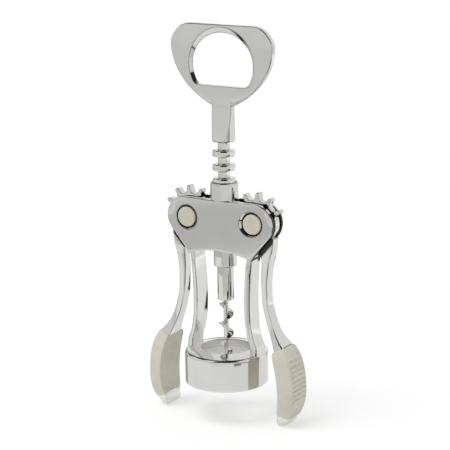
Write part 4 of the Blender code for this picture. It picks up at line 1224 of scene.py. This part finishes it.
def tent():
    """Light tent round the object, with a dark gap, a dark strip behind and dark parts overhead."""
    low = TENT_FLOOR_GAP
    for n, (start, stop, floor_levels, low_wall, upper_wall, over) in enumerate(TENT_PANELS):
        steps = max(round((stop - start) / 6), 1)
        angles = [math.radians(start + (stop - start) * k / steps) for k in range(steps + 1)]
        spots = [(math.sin(a), -math.cos(a)) for a in angles]
        bands = []
        levels = (TENT_NEAR, *floor_levels, (TENT_RADIUS, floor_levels[-1][1]))
        for (inner, first), (outer, last) in zip(levels, levels[1:]):
            count = 1 if first == last else max(math.ceil((outer - inner) / TENT_STEP), 3)
            for k in range(count):
                near, far = k / count, (k + 1) / count
                bands.append((inner + (outer - inner) * near, low, inner + (outer - inner) * far, low,
                              first + (last - first) * (near + far) / 2))
        bands += [(TENT_RADIUS, 0, TENT_RADIUS, TENT_LIP, low_wall),
                  (TENT_RADIUS, TENT_LIP, TENT_RADIUS, TENT_HEIGHT, upper_wall),
                  (TENT_RADIUS, TENT_HEIGHT, TENT_CROWN, TENT_HEIGHT, over)]
        for m, (inner, foot, outer, head, level) in enumerate(bands):
            faces = [[(ax * inner, ay * inner, foot), (bx * inner, by * inner, foot),
                      (bx * outer, by * outer, head), (ax * outer, ay * outer, head)]
                     for (ax, ay), (bx, by) in zip(spots, spots[1:])]
            card(f"tent_{n}_{m}", faces, level)
    count = 48
    crown = [(*around(TENT_CROWN, math.tau * k / count), TENT_HEIGHT) for k in range(count)]
    card("tent_crown", [crown], TENT_DARK)


def world():
    sky = bpy.data.worlds.new("studio")
    bpy.context.scene.world = sky
    sky.use_nodes = True
    tree = sky.node_tree
    tree.nodes.clear()
    level = tree.nodes.new("ShaderNodeMapRange")
    level.inputs["To Min"].default_value = WORLD_STRENGTH
    level.inputs["To Max"].default_value = 1.0
    tree.links.new(camera_ray(tree), level.inputs["Value"])
    back = add_node(tree, "ShaderNodeBackground", Color=(1, 1, 1, 1))
    tree.links.new(level.outputs["Result"], back.inputs["Strength"])
    out = tree.nodes.new("ShaderNodeOutputWorld")
    tree.links.new(back.outputs[0], out.inputs["Surface"])


def sun():
    lamp = bpy.data.lights.new("key", "SUN")
    lamp.energy = SUN_STRENGTH
    lamp.angle = SUN_ANGLE
    thing = add_to_scene("key", lamp)
    thing.rotation_mode = "QUATERNION"
    thing.rotation_quaternion = SUN_TOWARD.normalized().to_track_quat("Z", "Y")


VIEW_AZIMUTH = math.radians(31.5)
VIEW_ELEVATION = math.radians(13.38)
VIEW_ROLL = math.radians(-0.79)
VIEW_DISTANCE = 869.6 * MM
VIEW_TARGET_ACROSS = 0.1 * MM
VIEW_TARGET_HEIGHT = 96.07 * MM
VIEW_FOCUS = 1789.3           # focal length in pixels of the photo's frame
PHOTO_SIZE = 450
SENSOR = 36.0
CLIP_NEAR = 0.01
CLIP_FAR = 100.0


def camera():
    a, e = VIEW_AZIMUTH, VIEW_ELEVATION
    back = Vector((math.sin(a) * math.cos(e), -math.cos(a) * math.cos(e), math.sin(e)))
    level = Vector((math.cos(a), math.sin(a), 0))
    up = back.cross(level)
    right = level * math.cos(VIEW_ROLL) + up * math.sin(VIEW_ROLL)
    top = up * math.cos(VIEW_ROLL) - level * math.sin(VIEW_ROLL)
    lens = bpy.data.cameras.new("camera")
    lens.sensor_width = SENSOR
    lens.lens = VIEW_FOCUS / PHOTO_SIZE * SENSOR
    lens.clip_start = CLIP_NEAR
    lens.clip_end = CLIP_FAR
    thing = add_to_scene("camera", lens)
    place = level * VIEW_TARGET_ACROSS + Vector((0, 0, VIEW_TARGET_HEIGHT)) + back * VIEW_DISTANCE
    thing.matrix_world = Matrix((
        (right.x, top.x, back.x, place.x),
        (right.y, top.y, back.y, place.y),
        (right.z, top.z, back.z, place.z),
        (0, 0, 0, 1)))
    bpy.context.scene.camera = thing


def finish_nodes():
    """Nodes that stay as the frame has them get their finish."""
    for name in ("left_pivot_pin", "right_pivot_pin", "left_pin_clip", "right_pin_clip", "spindle"):
        materials = frame["nodes"][name].data.materials
        materials.clear()
        materials.append(STEEL)


camera()
world()
sun()
floor()
tent()
finish_nodes()
bell_ring()
legs()
plates()
caps()
levers()
grips()
rack()
holder()
worm()
opener_head()

bpy.context.scene.view_settings.view_transform = "Standard"
